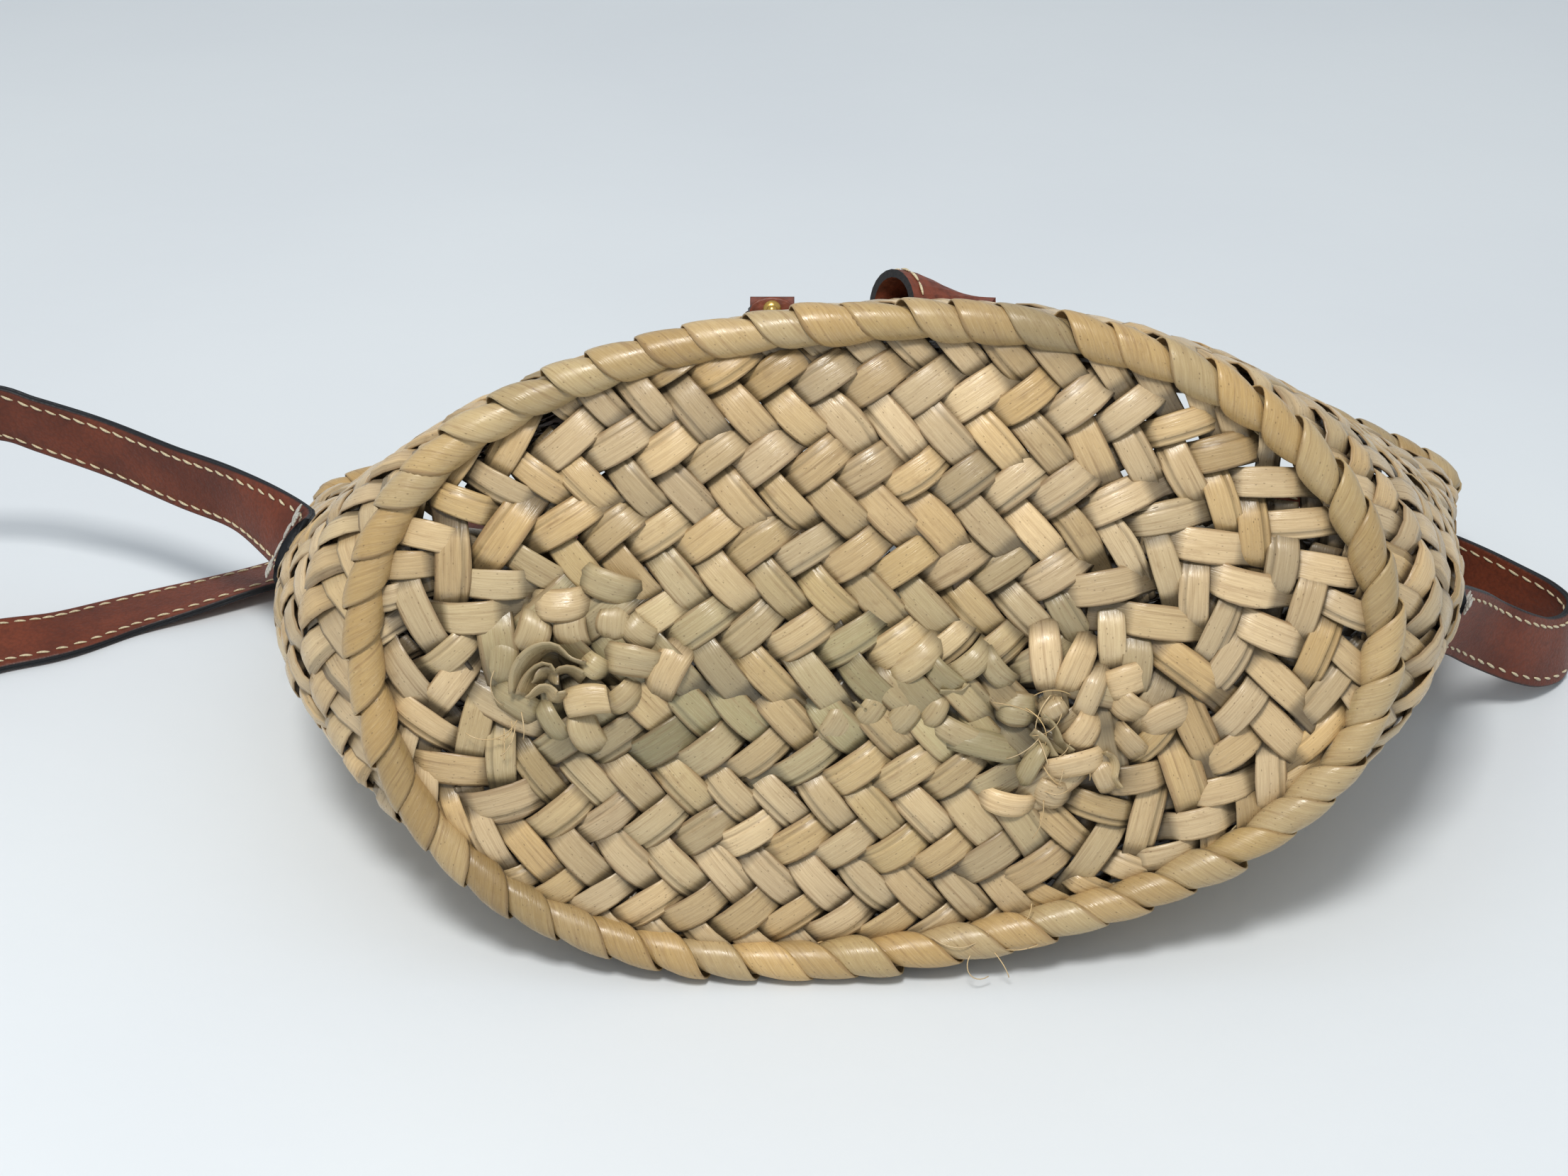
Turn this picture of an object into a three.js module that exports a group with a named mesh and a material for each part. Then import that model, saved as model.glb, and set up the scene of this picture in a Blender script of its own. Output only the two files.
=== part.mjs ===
// A small palm-leaf basket bag with a leather shoulder strap, lying on one of its wide walls.
// Millimetres. +X runs across the bag, +Y from its base to its mouth, +Z up from the table.

import * as THREE from 'three';

// Sizes of the basket
const bagHeight = 187;
const baseWidth = 269;
const baseDepth = 181;
const mouthWidth = 361;
const mouthDepth = 76;
const mouthShift = 21;
const mouthRise = 16;
const wallThickness = 2.6;
const panelThickness = 2.6;
const panelDome = 3.5;
const baseRimDiameter = 10;
const mouthRimDiameter = 11;
const wallInset = 1.2;
const wallCrown = 2;
const contactGap = 0.3;

// Sizes of the two knots that the base's braid turns round. The margin is what the braid's rows
// fill between a knot and the end of the base.
const knotMargin = 72;
const knotShift = -16;
const knotSlope = -6;
const knotDrop = 12;
const knotRadius = 15;
const knotHeight = 6.5;

// Sizes of the strap
const strapWidth = 22;
const strapThickness = 2.8;
const seatLength = 10;
const seatStartLeft = 98;
const seatStartRight = 67;
const seatRiseLeft = 8;
const seatRiseRight = -9;

// Sizes of the closure on the upper wall
const closureTabWidth = 11;
const closureTabLength = 34;
const closureTabThickness = 2.4;
const closureTabArch = 5;
const studDiameter = 4.6;
const studHeight = 2;
const curledTabWidth = 22;
const curledTabLength = 28;
const curledTabThickness = 2.2;
const curledTabArch = 7.5;
const curledTabTurn = 35;
const closureStation = 74;
const closureTabAcross = -24;
const curledTabAcross = 20;

// How fine the meshes are
const roundSteps = 64;
const wallSteps = 11;
const rimSides = 12;
const panelRings = 4;
const strapStep = 10;
const bendStep = 3;
const bendReach = 36;
const seatSteps = 2;
const strapColumns = 4;
const cupFade = 12;

// The basket's form from base to mouth. widen and thin run from 0 at the base to 1 at the mouth,
// crown is a share of wallCrown, and square is the power of the oval's outline.
const wallForm = [
  { at: 0.00, widen: 0.00, thin: 0.00, crown: 0.0, square: 2.04 },
  { at: 0.12, widen: 0.38, thin: 0.12, crown: 0.4, square: 2.01 },
  { at: 0.28, widen: 0.65, thin: 0.28, crown: 0.8, square: 1.96 },
  { at: 0.50, widen: 0.79, thin: 0.50, crown: 1.0, square: 1.90 },
  { at: 0.75, widen: 0.90, thin: 0.75, crown: 0.7, square: 1.88 },
  { at: 1.00, widen: 1.00, thin: 1.00, crown: 0.0, square: 1.88 },
];

// Slow waves that the soft ovals of the base and the mouth have, as shares of their radius
const baseWaves = [
  { order: 2, share: 0.025, phase: 90 },
  { order: 3, share: 0.016, phase: 21 },
  { order: 4, share: 0.019, phase: -127 },
];
const mouthWaves = [
  { order: 2, share: 0.120, phase: 100 },
  { order: 3, share: 0.088, phase: -101 },
  { order: 4, share: 0.050, phase: -15 },
];

// The strap's way round, from its left seat to its right one. across is a share of half the
// mouth's width, back a share of the bag's height, rise the height of the strap's lower edge as
// a share of half the base's depth, and lean its tilt from upright, in degrees.
const strapRoute = [
  { across: -1.061, back: 0.708, rise: 0.475, lean: 0 },
  { across: -1.178, back: 0.791, rise: 0.464, lean: 0 },
  { across: -1.317, back: 0.862, rise: 0.497, lean: 4 },
  { across: -1.446, back: 0.896, rise: 0.552, lean: 9 },
  { across: -1.509, back: 0.906, rise: 0.586, lean: 10 },
  { across: -1.690, back: 0.909, rise: 0.586, lean: 13 },
  { across: -1.873, back: 0.856, rise: 0.508, lean: 18 },
  { across: -1.983, back: 0.738, rise: 0.376, lean: 26 },
  { across: -1.950, back: 0.610, rise: 0.221, lean: 38 },
  { across: -1.817, back: 0.556, rise: 0.088, lean: 54 },
  { across: -1.662, back: 0.578, rise: 0.011, lean: 68 },
  { across: -1.512, back: 0.668, rise: 0.000, lean: 76 },
  { across: -1.411, back: 0.710, rise: 0.000, lean: 82 },
  { across: -1.306, back: 0.784, rise: 0.000, lean: 90 },
  { across: -1.186, back: 0.836, rise: 0.000, lean: 97 },
  { across: -1.104, back: 0.872, rise: 0.000, lean: 103 },
  { across: -0.914, back: 0.973, rise: 0.000, lean: 102 },
  { across: -0.609, back: 1.070, rise: 0.000, lean: 90 },
  { across: -0.166, back: 1.112, rise: 0.000, lean: 75 },
  { across: 0.277, back: 1.112, rise: 0.000, lean: 60 },
  { across: 0.665, back: 1.075, rise: 0.000, lean: 45 },
  { across: 0.942, back: 0.984, rise: 0.000, lean: 28 },
  { across: 1.105, back: 0.856, rise: 0.000, lean: 15 },
  { across: 1.188, back: 0.770, rise: 0.000, lean: 8 },
  { across: 1.238, back: 0.711, rise: 0.000, lean: 2 },
  { across: 1.255, back: 0.663, rise: 0.000, lean: -4 },
  { across: 1.235, back: 0.615, rise: 0.000, lean: -11 },
  { across: 1.186, back: 0.567, rise: 0.039, lean: -13 },
  { across: 1.136, back: 0.535, rise: 0.099, lean: -10 },
  { across: 1.061, back: 0.503, rise: 0.199, lean: -2 },
  { across: 1.003, back: 0.455, rise: 0.309, lean: 12 },
];

const radians = Math.PI / 180;

const rimRadius = baseRimDiameter / 2;
const mouthRimRadius = mouthRimDiameter / 2;
const knotSpan = baseWidth - 2 * knotMargin;

// Smooth reading of one column of a table whose rows stand at given shares
function readColumn(table, column, share) {
  const last = table.length - 1;
  let row = 0;
  while (row < last - 1 && share > table[row + 1].at) row += 1;
  const a = table[Math.max(row - 1, 0)][column];
  const b = table[row][column];
  const c = table[row + 1][column];
  const d = table[Math.min(row + 2, last)][column];
  const t = THREE.MathUtils.clamp((share - table[row].at) / (table[row + 1].at - table[row].at), 0, 1);
  const slopeIn = (c - a) / 2;
  const slopeOut = (d - b) / 2;
  const t2 = t * t;
  const t3 = t2 * t;
  return b * (2 * t3 - 3 * t2 + 1) + slopeIn * (t3 - 2 * t2 + t)
    + c * (3 * t2 - 2 * t3) + slopeOut * (t3 - t2);
}

function signedPower(value, power) {
  return Math.sign(value) * Math.abs(value) ** power;
}

function waveSum(waves, angle) {
  let sum = 0;
  for (const wave of waves) sum += wave.share * Math.cos(wave.order * angle - wave.phase * radians);
  return sum;
}

// One oval of the basket, cut across its axis, as evenly spaced points with inward normals
const fineSteps = 480;

function ovalAt(along) {
  const share = along / bagHeight;
  const halfWidth = THREE.MathUtils.lerp(baseWidth, mouthWidth, readColumn(wallForm, 'widen', share)) / 2;
  const halfDepth = THREE.MathUtils.lerp(baseDepth, mouthDepth, readColumn(wallForm, 'thin', share)) / 2;
  const crown = wallCrown * readColumn(wallForm, 'crown', share);
  const power = 2 / readColumn(wallForm, 'square', share);
  const fine = [];
  for (let i = 0; i <= fineSteps; i += 1) {
    const angle = (2 * Math.PI * i) / fineSteps;
    const swell = 1 + (1 - share) * waveSum(baseWaves, angle) + share * waveSum(mouthWaves, angle);
    const across = halfWidth * swell * signedPower(Math.cos(angle), power) + mouthShift * share * share;
    const high = Math.max(Math.sin(angle), 0);
    const rise = halfDepth * swell * signedPower(Math.sin(angle), power) + mouthRise * share + crown * high;
    fine.push(new THREE.Vector2(across, rise));
  }
  const lengths = [0];
  for (let i = 1; i <= fineSteps; i += 1) {
    lengths.push(lengths[i - 1] + fine[i].distanceTo(fine[i - 1]));
  }
  return { fine, lengths, girth: lengths[fineSteps], along };
}

// A point of an oval at a share of its girth, moved inwards by inset
function ovalPoint(oval, share, inset) {
  const wanted = (share - Math.floor(share)) * oval.girth;
  let low = 0;
  let high = fineSteps;
  while (high - low > 1) {
    const middle = (low + high) >> 1;
    if (oval.lengths[middle] <= wanted) low = middle;
    else high = middle;
  }
  const t = (wanted - oval.lengths[low]) / (oval.lengths[high] - oval.lengths[low]);
  const before = oval.fine[(low - 2 + fineSteps) % fineSteps];
  const after = oval.fine[(high + 2) % fineSteps];
  const tangent = after.clone().sub(before).normalize();
  const point = oval.fine[low].clone().lerp(oval.fine[high], t);
  return new THREE.Vector2(point.x - tangent.y * inset, point.y + tangent.x * inset);
}

function ovalRing(along, inset, steps = roundSteps) {
  const oval = ovalAt(along);
  const ring = [];
  for (let i = 0; i < steps; i += 1) ring.push(ovalPoint(oval, i / steps, inset));
  return ring;
}

// The basket lies on one side of its wedge and rests on both rims, which sets how far its base
// leans back from upright
const lowest = (ring) => Math.min(...ring.map((point) => point.y));
const reach = bagHeight - rimRadius - mouthRimRadius;
const baseLow = lowest(ovalRing(rimRadius, rimRadius));
const climb = lowest(ovalRing(bagHeight - mouthRimRadius, mouthRimRadius)) - baseLow;
const lean = Math.atan(climb / reach) - Math.asin((mouthRimRadius - rimRadius) / Math.hypot(climb, reach));

const acrossAxis = new THREE.Vector3(1, 0, 0);
const riseAxis = new THREE.Vector3(0, Math.sin(lean), Math.cos(lean));
const bagAxis = new THREE.Vector3(0, Math.cos(lean), -Math.sin(lean));

function toWorld(across, rise, along) {
  return new THREE.Vector3()
    .addScaledVector(acrossAxis, across)
    .addScaledVector(riseAxis, rise)
    .addScaledVector(bagAxis, along);
}

// A closed mesh from lists of points and of faces given by their corners. The faces of one solid
// all turn the same way, and are reversed together where that way is inwards.
function solidFrom(points, faces) {
  const positions = [];
  for (const point of points) positions.push(point.x, point.y, point.z);
  const index = [];
  let volume = 0;
  for (const face of faces) {
    for (let i = 2; i < face.length; i += 1) {
      const [a, b, c] = [face[0], face[i - 1], face[i]];
      index.push(a, b, c);
      volume += points[a].dot(points[b].clone().cross(points[c]));
    }
  }
  if (volume < 0) index.reverse();
  const geometry = new THREE.BufferGeometry();
  geometry.setAttribute('position', new THREE.Float32BufferAttribute(positions, 3));
  geometry.setIndex(index);
  geometry.computeVertexNormals();
  return geometry;
}

// A skin over rings of points; each ring closes on itself, and so does the row of rings
function closedRings(rings) {
  const sides = rings[0].length;
  const points = rings.flat();
  const faces = [];
  for (let i = 0; i < rings.length; i += 1) {
    const next = (i + 1) % rings.length;
    for (let j = 0; j < sides; j += 1) {
      const after = (j + 1) % sides;
      faces.push([i * sides + j, i * sides + after, next * sides + after, next * sides + j]);
    }
  }
  return solidFrom(points, faces);
}

// The wall's inset from the basket's outline: it runs into the middle of each rim
function insetAt(along) {
  const fromBase = THREE.MathUtils.smoothstep(along, baseRimDiameter, baseRimDiameter * 2.2);
  const fromMouth = THREE.MathUtils.smoothstep(bagHeight - along, mouthRimDiameter, mouthRimDiameter * 2.2);
  const atBase = rimRadius - wallThickness / 2;
  const atMouth = mouthRimRadius - wallThickness / 2;
  return wallInset + (atBase - wallInset) * (1 - fromBase) + (atMouth - wallInset) * (1 - fromMouth);
}

function wallPoint(along, share, depth) {
  const flat = ovalPoint(ovalAt(along), share, insetAt(along) + depth);
  return toWorld(flat.x, flat.y, along);
}

function buildWall() {
  const first = baseRimDiameter + contactGap;
  const last = bagHeight - mouthRimDiameter - contactGap;
  const rings = [];
  for (const side of [0, 1]) {
    for (let i = 0; i <= wallSteps; i += 1) {
      const t = side === 0 ? i / wallSteps : 1 - i / wallSteps;
      const along = THREE.MathUtils.lerp(first, last, t);
      const flat = ovalRing(along, insetAt(along) + side * wallThickness);
      rings.push(flat.map((point) => toWorld(point.x, point.y, along)));
    }
  }
  return closedRings(rings);
}

// A wrapped roll round the basket, its middle line half a diameter inside the outline
function buildRim(middle, radius) {
  const path = ovalRing(middle, radius);
  const outline = ovalRing(middle, 0);
  const rings = path.map((point, i) => {
    const outward = outline[i].clone().sub(point).normalize();
    const ring = [];
    for (let k = 0; k < rimSides; k += 1) {
      const angle = (2 * Math.PI * k) / rimSides;
      const away = radius * Math.cos(angle);
      const on = radius * Math.sin(angle);
      ring.push(toWorld(point.x + outward.x * away, point.y + outward.y * away, middle + on));
    }
    return ring;
  });
  return closedRings(rings);
}

// The outer face of the base panel: a low dome set back inside the rim
const panelEdge = ovalRing(rimRadius, baseRimDiameter + contactGap);
const panelHalfWidth = Math.max(...panelEdge.map((point) => point.x));
const panelHalfDepth = Math.max(...panelEdge.map((point) => point.y));

function panelFace(across, rise) {
  const out = Math.min((across / panelHalfWidth) ** 2 + (rise / panelHalfDepth) ** 2, 1);
  return rimRadius - panelThickness / 2 - panelDome * (1 - out);
}

function buildPanel() {
  const points = [];
  const faces = [];
  const count = panelEdge.length;
  for (const depth of [0, panelThickness]) {
    for (let ring = 1; ring <= panelRings; ring += 1) {
      for (const edge of panelEdge) {
        const across = (edge.x * ring) / panelRings;
        const rise = (edge.y * ring) / panelRings;
        points.push(toWorld(across, rise, panelFace(across, rise) + depth));
      }
    }
    points.push(toWorld(0, 0, panelFace(0, 0) + depth));
  }
  const side = panelRings * count + 1;
  const quad = (a, b, c, d, flip) => faces.push(flip ? [d, c, b, a] : [a, b, c, d]);
  for (const back of [0, 1]) {
    const start = back * side;
    for (let j = 0; j < count; j += 1) {
      const next = (j + 1) % count;
      const hub = start + side - 1;
      faces.push(back ? [hub, start + next, start + j] : [hub, start + j, start + next]);
      for (let ring = 0; ring < panelRings - 1; ring += 1) {
        const inner = start + ring * count;
        const outer = inner + count;
        quad(inner + j, outer + j, outer + next, inner + next, back === 1);
      }
    }
  }
  const frontEdge = (panelRings - 1) * count;
  for (let j = 0; j < count; j += 1) {
    const next = (j + 1) % count;
    quad(frontEdge + j, side + frontEdge + j, side + frontEdge + next, frontEdge + next, false);
  }
  return solidFrom(points, faces);
}

// A knot of leaf ends: a low lobed button that follows the panel's face
function buildKnot(across, rise) {
  const sides = 18;
  const lobes = 6;
  const profile = [
    { radius: 0.55, height: 0.98 },
    { radius: 0.86, height: 0.72 },
    { radius: 1.00, height: 0.28 },
    { radius: 0.96, height: 0.00 },
    { radius: 0.50, height: 0.00 },
  ];
  const points = [];
  const faces = [];
  for (const row of profile) {
    for (let j = 0; j < sides; j += 1) {
      const angle = (2 * Math.PI * j) / sides;
      const lobe = 1 + 0.06 * Math.cos(lobes * angle);
      const x = across + knotRadius * row.radius * lobe * Math.cos(angle);
      const y = rise + knotRadius * row.radius * lobe * Math.sin(angle);
      points.push(toWorld(x, y, panelFace(x, y) - contactGap - knotHeight * row.height));
    }
  }
  for (let i = 0; i < profile.length - 1; i += 1) {
    for (let j = 0; j < sides; j += 1) {
      const next = (j + 1) % sides;
      faces.push([i * sides + j, (i + 1) * sides + j, (i + 1) * sides + next, i * sides + next]);
    }
  }
  const front = points.length;
  points.push(toWorld(across, rise, panelFace(across, rise) - contactGap - knotHeight * 0.8));
  const back = points.length;
  points.push(toWorld(across, rise, panelFace(across, rise) - contactGap));
  const backRow = (profile.length - 1) * sides;
  for (let j = 0; j < sides; j += 1) {
    const next = (j + 1) % sides;
    faces.push([front, j, next]);
    faces.push([back, backRow + next, backRow + j]);
  }
  return solidFrom(points, faces);
}

// The place on the wall's girth that stands at a given rise on one side
function shareAtRise(along, rise, side) {
  const oval = ovalAt(along);
  let best = 0;
  let nearest = Infinity;
  for (let i = 0; i < fineSteps; i += 1) {
    const point = ovalPoint(oval, i / fineSteps, 0);
    const miss = Math.abs(point.y - rise);
    if (point.x * side > 0 && miss < nearest) {
      nearest = miss;
      best = i / fineSteps;
    }
  }
  return best;
}

// Outward normal of the wall's outer face
function wallNormal(along, share) {
  const step = 0.5;
  const girth = ovalAt(along).girth;
  const round = wallPoint(along, share + step / girth, 0).sub(wallPoint(along, share - step / girth, 0));
  const forward = wallPoint(along + step, share, 0).sub(wallPoint(along - step, share, 0));
  return forward.cross(round).normalize();
}

// One section of the strap where it lies sewn on the wall: points across it, inner then outer face
function seatSection(along, rise, side) {
  const girth = ovalAt(along).girth;
  const middle = shareAtRise(along, rise, side);
  const inner = [];
  const outer = [];
  for (let k = 0; k <= strapColumns; k += 1) {
    const sideways = strapWidth * (k / strapColumns - 0.5);
    const share = middle + (sideways * side) / girth;
    const normal = wallNormal(along, share);
    const foot = wallPoint(along, share, 0);
    inner.push(foot.clone().addScaledVector(normal, contactGap));
    outer.push(foot.clone().addScaledVector(normal, contactGap + strapThickness));
  }
  const centre = inner[strapColumns / 2].clone().lerp(outer[strapColumns / 2], 0.5);
  const width = inner[strapColumns].clone().sub(inner[0]).normalize();
  const thick = outer[strapColumns / 2].clone().sub(inner[strapColumns / 2]).normalize();
  const chord = inner[0].clone().lerp(inner[strapColumns], 0.5);
  const cup = inner[strapColumns / 2].clone().sub(chord).dot(thick) / (strapWidth / 2) ** 2;
  return { inner, outer, centre, width, cup };
}

// A section of the strap in free air or on the table
function freeSection(centre, tangent, width, cup) {
  const across = width.clone().addScaledVector(tangent, -width.dot(tangent)).normalize();
  const thick = across.clone().cross(tangent).normalize();
  const inner = [];
  const outer = [];
  for (let k = 0; k <= strapColumns; k += 1) {
    const sideways = strapWidth * (k / strapColumns - 0.5);
    const sag = -cup * sideways ** 2;
    const line = centre.clone().addScaledVector(across, sideways);
    inner.push(line.clone().addScaledVector(thick, sag - strapThickness / 2));
    outer.push(line.clone().addScaledVector(thick, sag + strapThickness / 2));
  }
  return { inner, outer };
}

// Where the strap runs, with the direction of its width at each point of the route
function strapLine() {
  const points = [];
  const widths = [];
  const tableZ = toWorld(0, baseLow, rimRadius).z - rimRadius;
  const flat = strapRoute.map((row) => new THREE.Vector2(row.across * mouthWidth / 2, row.back * bagHeight));
  strapRoute.forEach((row, i) => {
    const before = flat[Math.max(i - 1, 0)];
    const after = flat[Math.min(i + 1, flat.length - 1)];
    const heading = after.clone().sub(before).normalize();
    const tilt = row.lean * radians;
    const half = (strapWidth * Math.abs(Math.cos(tilt)) + strapThickness * Math.abs(Math.sin(tilt))) / 2;
    points.push(new THREE.Vector3(flat[i].x, flat[i].y, tableZ + row.rise * baseDepth / 2 + half));
    widths.push(new THREE.Vector3(-heading.y * Math.sin(tilt), heading.x * Math.sin(tilt), Math.cos(tilt)));
  });
  return { points, widths };
}

// Places along the strap's free length: close together near the seats, where it bends most
function strapStations(length) {
  const bend = Math.round(bendReach / bendStep);
  const middle = Math.round((length - 2 * bendReach) / strapStep);
  const stations = [];
  for (let i = 1; i <= bend; i += 1) stations.push((bendReach * i) / bend);
  for (let i = 1; i < middle; i += 1) stations.push(bendReach + ((length - 2 * bendReach) * i) / middle);
  for (let i = bend; i >= 1; i -= 1) stations.push(length - (bendReach * i) / bend);
  return stations;
}

function buildStrap() {
  const sections = [];
  const left = [];
  const right = [];
  for (let i = 0; i <= seatSteps; i += 1) {
    const run = (seatLength * i) / seatSteps;
    left.push(seatSection(seatStartLeft + run, seatRiseLeft, -1));
    right.push(seatSection(seatStartRight + run, seatRiseRight, 1));
  }
  const { points, widths } = strapLine();
  const leftEnd = left[seatSteps];
  const rightEnd = right[seatSteps];
  const leftLead = left[seatSteps - 1].centre;
  const rightLead = right[seatSteps - 1].centre;
  const nodes = [leftLead, leftEnd.centre, ...points, rightEnd.centre, rightLead];
  const bands = [leftEnd.width, leftEnd.width, ...widths, rightEnd.width, rightEnd.width];
  const curve = new THREE.CatmullRomCurve3(nodes, false, 'centripetal');
  const spans = nodes.length - 1;
  const firstT = 1 / spans;
  const lastT = 1 - firstT;
  const samples = [];
  const dense = 3000;
  let length = 0;
  for (let i = 0; i <= dense; i += 1) {
    const t = THREE.MathUtils.lerp(firstT, lastT, i / dense);
    const point = curve.getPoint(t);
    if (i > 0) length += point.distanceTo(samples[i - 1].point);
    samples.push({ t, point, length });
  }
  for (const section of left) sections.push(section);
  let cursor = 0;
  for (const wanted of strapStations(length)) {
    while (samples[cursor].length < wanted) cursor += 1;
    const { t, point } = samples[cursor];
    const place = t * spans;
    const row = Math.floor(place);
    const width = bands[row].clone().lerp(bands[row + 1], place - row);
    const leftCup = leftEnd.cup * Math.exp(-wanted / cupFade);
    const rightCup = rightEnd.cup * Math.exp((wanted - length) / cupFade);
    sections.push(freeSection(point, curve.getTangent(t), width, leftCup + rightCup));
  }
  for (const section of right.reverse()) sections.push(section);
  return sections.map((section) => [...section.inner, ...[...section.outer].reverse()]);
}

// A skin over open rows of rings, with a cap on each end
function cappedRings(rings) {
  const sides = rings[0].length;
  const points = rings.flat();
  const faces = [];
  for (let i = 0; i < rings.length - 1; i += 1) {
    for (let j = 0; j < sides; j += 1) {
      const after = (j + 1) % sides;
      faces.push([i * sides + j, i * sides + after, (i + 1) * sides + after, (i + 1) * sides + j]);
    }
  }
  const last = (rings.length - 1) * sides;
  const half = sides / 2;
  for (let k = 0; k < half - 1; k += 1) {
    const far = sides - 1 - k;
    faces.push([k, far, far - 1, k + 1]);
    faces.push([last + k, last + k + 1, last + far - 1, last + far]);
  }
  return solidFrom(points, faces);
}

// A place on the upper wall, with a matrix whose X runs across, Y towards the mouth and Z outwards
function seatOnTop(along, across) {
  const oval = ovalAt(along);
  let share = 0.25;
  let nearest = Infinity;
  for (let i = 0; i < fineSteps / 2; i += 1) {
    const miss = Math.abs(ovalPoint(oval, i / fineSteps, insetAt(along)).x - across);
    if (miss < nearest) {
      nearest = miss;
      share = i / fineSteps;
    }
  }
  const outward = wallNormal(along, share);
  const sideways = new THREE.Vector3(1, 0, 0).addScaledVector(outward, -outward.x).normalize();
  const forward = outward.clone().cross(sideways);
  const foot = wallPoint(along, share, 0).addScaledVector(outward, contactGap);
  return new THREE.Matrix4().makeBasis(sideways, forward, outward).setPosition(foot);
}

// A strip of leather bent along a profile: steps of length and height, then given its thickness
function bentStrip(profile, thickness, width) {
  const shape = new THREE.Shape();
  const offset = profile.map((point, i) => {
    const before = profile[Math.max(i - 1, 0)];
    const after = profile[Math.min(i + 1, profile.length - 1)];
    const tangent = after.clone().sub(before).normalize();
    return new THREE.Vector2(point.x - tangent.y * thickness, point.y + tangent.x * thickness);
  });
  const outline = [...profile, ...offset.reverse()];
  shape.setFromPoints(outline);
  const strip = new THREE.ExtrudeGeometry(shape, { depth: width, bevelEnabled: false });
  strip.translate(0, 0, -width / 2);
  return strip;
}

// Turns an extruded strip so that its profile stands in the plane of Y and Z
function layStrip(strip) {
  strip.applyMatrix4(new THREE.Matrix4().makeBasis(
    new THREE.Vector3(0, 1, 0),
    new THREE.Vector3(0, 0, 1),
    new THREE.Vector3(1, 0, 0),
  ));
  return strip;
}

// The closure tab is a strip folded into a low arch: its near end stands on the wall and its far
// end runs back along it
function closureTabProfile() {
  const profile = [];
  const steps = 10;
  const steepness = 0.55;
  const roundness = 1.2;
  for (let i = 0; i <= steps; i += 1) {
    const t = i / steps;
    const along = closureTabLength * (t - 0.5);
    const height = Math.max(Math.sin(Math.PI * t ** steepness), 0) ** roundness;
    profile.push(new THREE.Vector2(along, closureTabArch * height));
  }
  return profile;
}

function buildClosureTab() {
  return layStrip(bentStrip(closureTabProfile(), closureTabThickness, closureTabWidth));
}

// The curled tab is flat on the wall at its far end and arched across its width at its near end
function buildCurledTab() {
  const rows = 8;
  const columns = 12;
  const narrowing = 0.42;
  const thinnestLift = 0.25;
  const points = [];
  const faces = [];
  for (const lift of [0, curledTabThickness]) {
    for (let i = 0; i <= rows; i += 1) {
      const t = i / rows;
      const arch = curledTabArch * (1 - THREE.MathUtils.smootherstep(t, 0, 1));
      const chord = curledTabWidth / 2 - arch * narrowing;
      for (let j = 0; j <= columns; j += 1) {
        const angle = (Math.PI / 2) * ((2 * j) / columns - 1);
        const outward = new THREE.Vector2(arch * Math.sin(angle), chord * Math.cos(angle)).normalize();
        points.push(new THREE.Vector3(
          curledTabLength * (t - 0.5),
          chord * Math.sin(angle) + lift * outward.x,
          arch * Math.cos(angle) + lift * Math.max(outward.y, thinnestLift),
        ));
      }
    }
  }
  const row = columns + 1;
  const sheet = (rows + 1) * row;
  for (let i = 0; i < rows; i += 1) {
    for (let j = 0; j < columns; j += 1) {
      const a = i * row + j;
      faces.push([a, a + row, a + row + 1, a + 1]);
      faces.push([sheet + a, sheet + a + 1, sheet + a + row + 1, sheet + a + row]);
    }
    const left = i * row;
    const right = left + columns;
    faces.push([left, sheet + left, sheet + left + row, left + row]);
    faces.push([right, right + row, sheet + right + row, sheet + right]);
  }
  for (let j = 0; j < columns; j += 1) {
    const last = rows * row + j;
    faces.push([j, j + 1, sheet + j + 1, sheet + j]);
    faces.push([last, sheet + last, sheet + last + 1, last + 1]);
  }
  return solidFrom(points, faces).rotateZ(curledTabTurn * radians);
}

function buildStud() {
  const radius = studDiameter / 2;
  const profile = [
    new THREE.Vector2(0, 0),
    new THREE.Vector2(radius * 0.8, 0),
    new THREE.Vector2(radius, studHeight * 0.35),
    new THREE.Vector2(radius * 0.75, studHeight * 0.85),
    new THREE.Vector2(0, studHeight),
  ];
  return new THREE.LatheGeometry(profile, 16).rotateX(Math.PI / 2);
}

const straw = { color: 0xc8b48c, roughness: 0.72, metalness: 0 };
const wrappedStraw = { color: 0xc8aa73, roughness: 0.62, metalness: 0 };
const brownLeather = { color: 0x7a4630, roughness: 0.55, metalness: 0 };
const brass = { color: 0xc9a45a, roughness: 0.3, metalness: 1 };

const bag = new THREE.Group();

function addPart(name, geometry, finish) {
  const mesh = new THREE.Mesh(geometry, new THREE.MeshStandardMaterial(finish));
  mesh.name = name;
  bag.add(mesh);
  return mesh;
}

addPart('basket_wall', buildWall(), straw);
addPart('base_panel', buildPanel(), straw);
addPart('base_rim', buildRim(rimRadius, rimRadius), wrappedStraw);
addPart('mouth_rim', buildRim(bagHeight - mouthRimRadius, mouthRimRadius), wrappedStraw);

const knotRise = (side) => side * (knotSpan / 2) * Math.tan(knotSlope * radians) - knotDrop;
addPart('base_knot_left', buildKnot(knotShift - knotSpan / 2, knotRise(-1)), straw);
addPart('base_knot_right', buildKnot(knotShift + knotSpan / 2, knotRise(1)), straw);

addPart('shoulder_strap', cappedRings(buildStrap()), brownLeather);

const tabSeat = seatOnTop(closureStation, closureTabAcross);
addPart('closure_tab', buildClosureTab().applyMatrix4(tabSeat), brownLeather);

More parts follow.
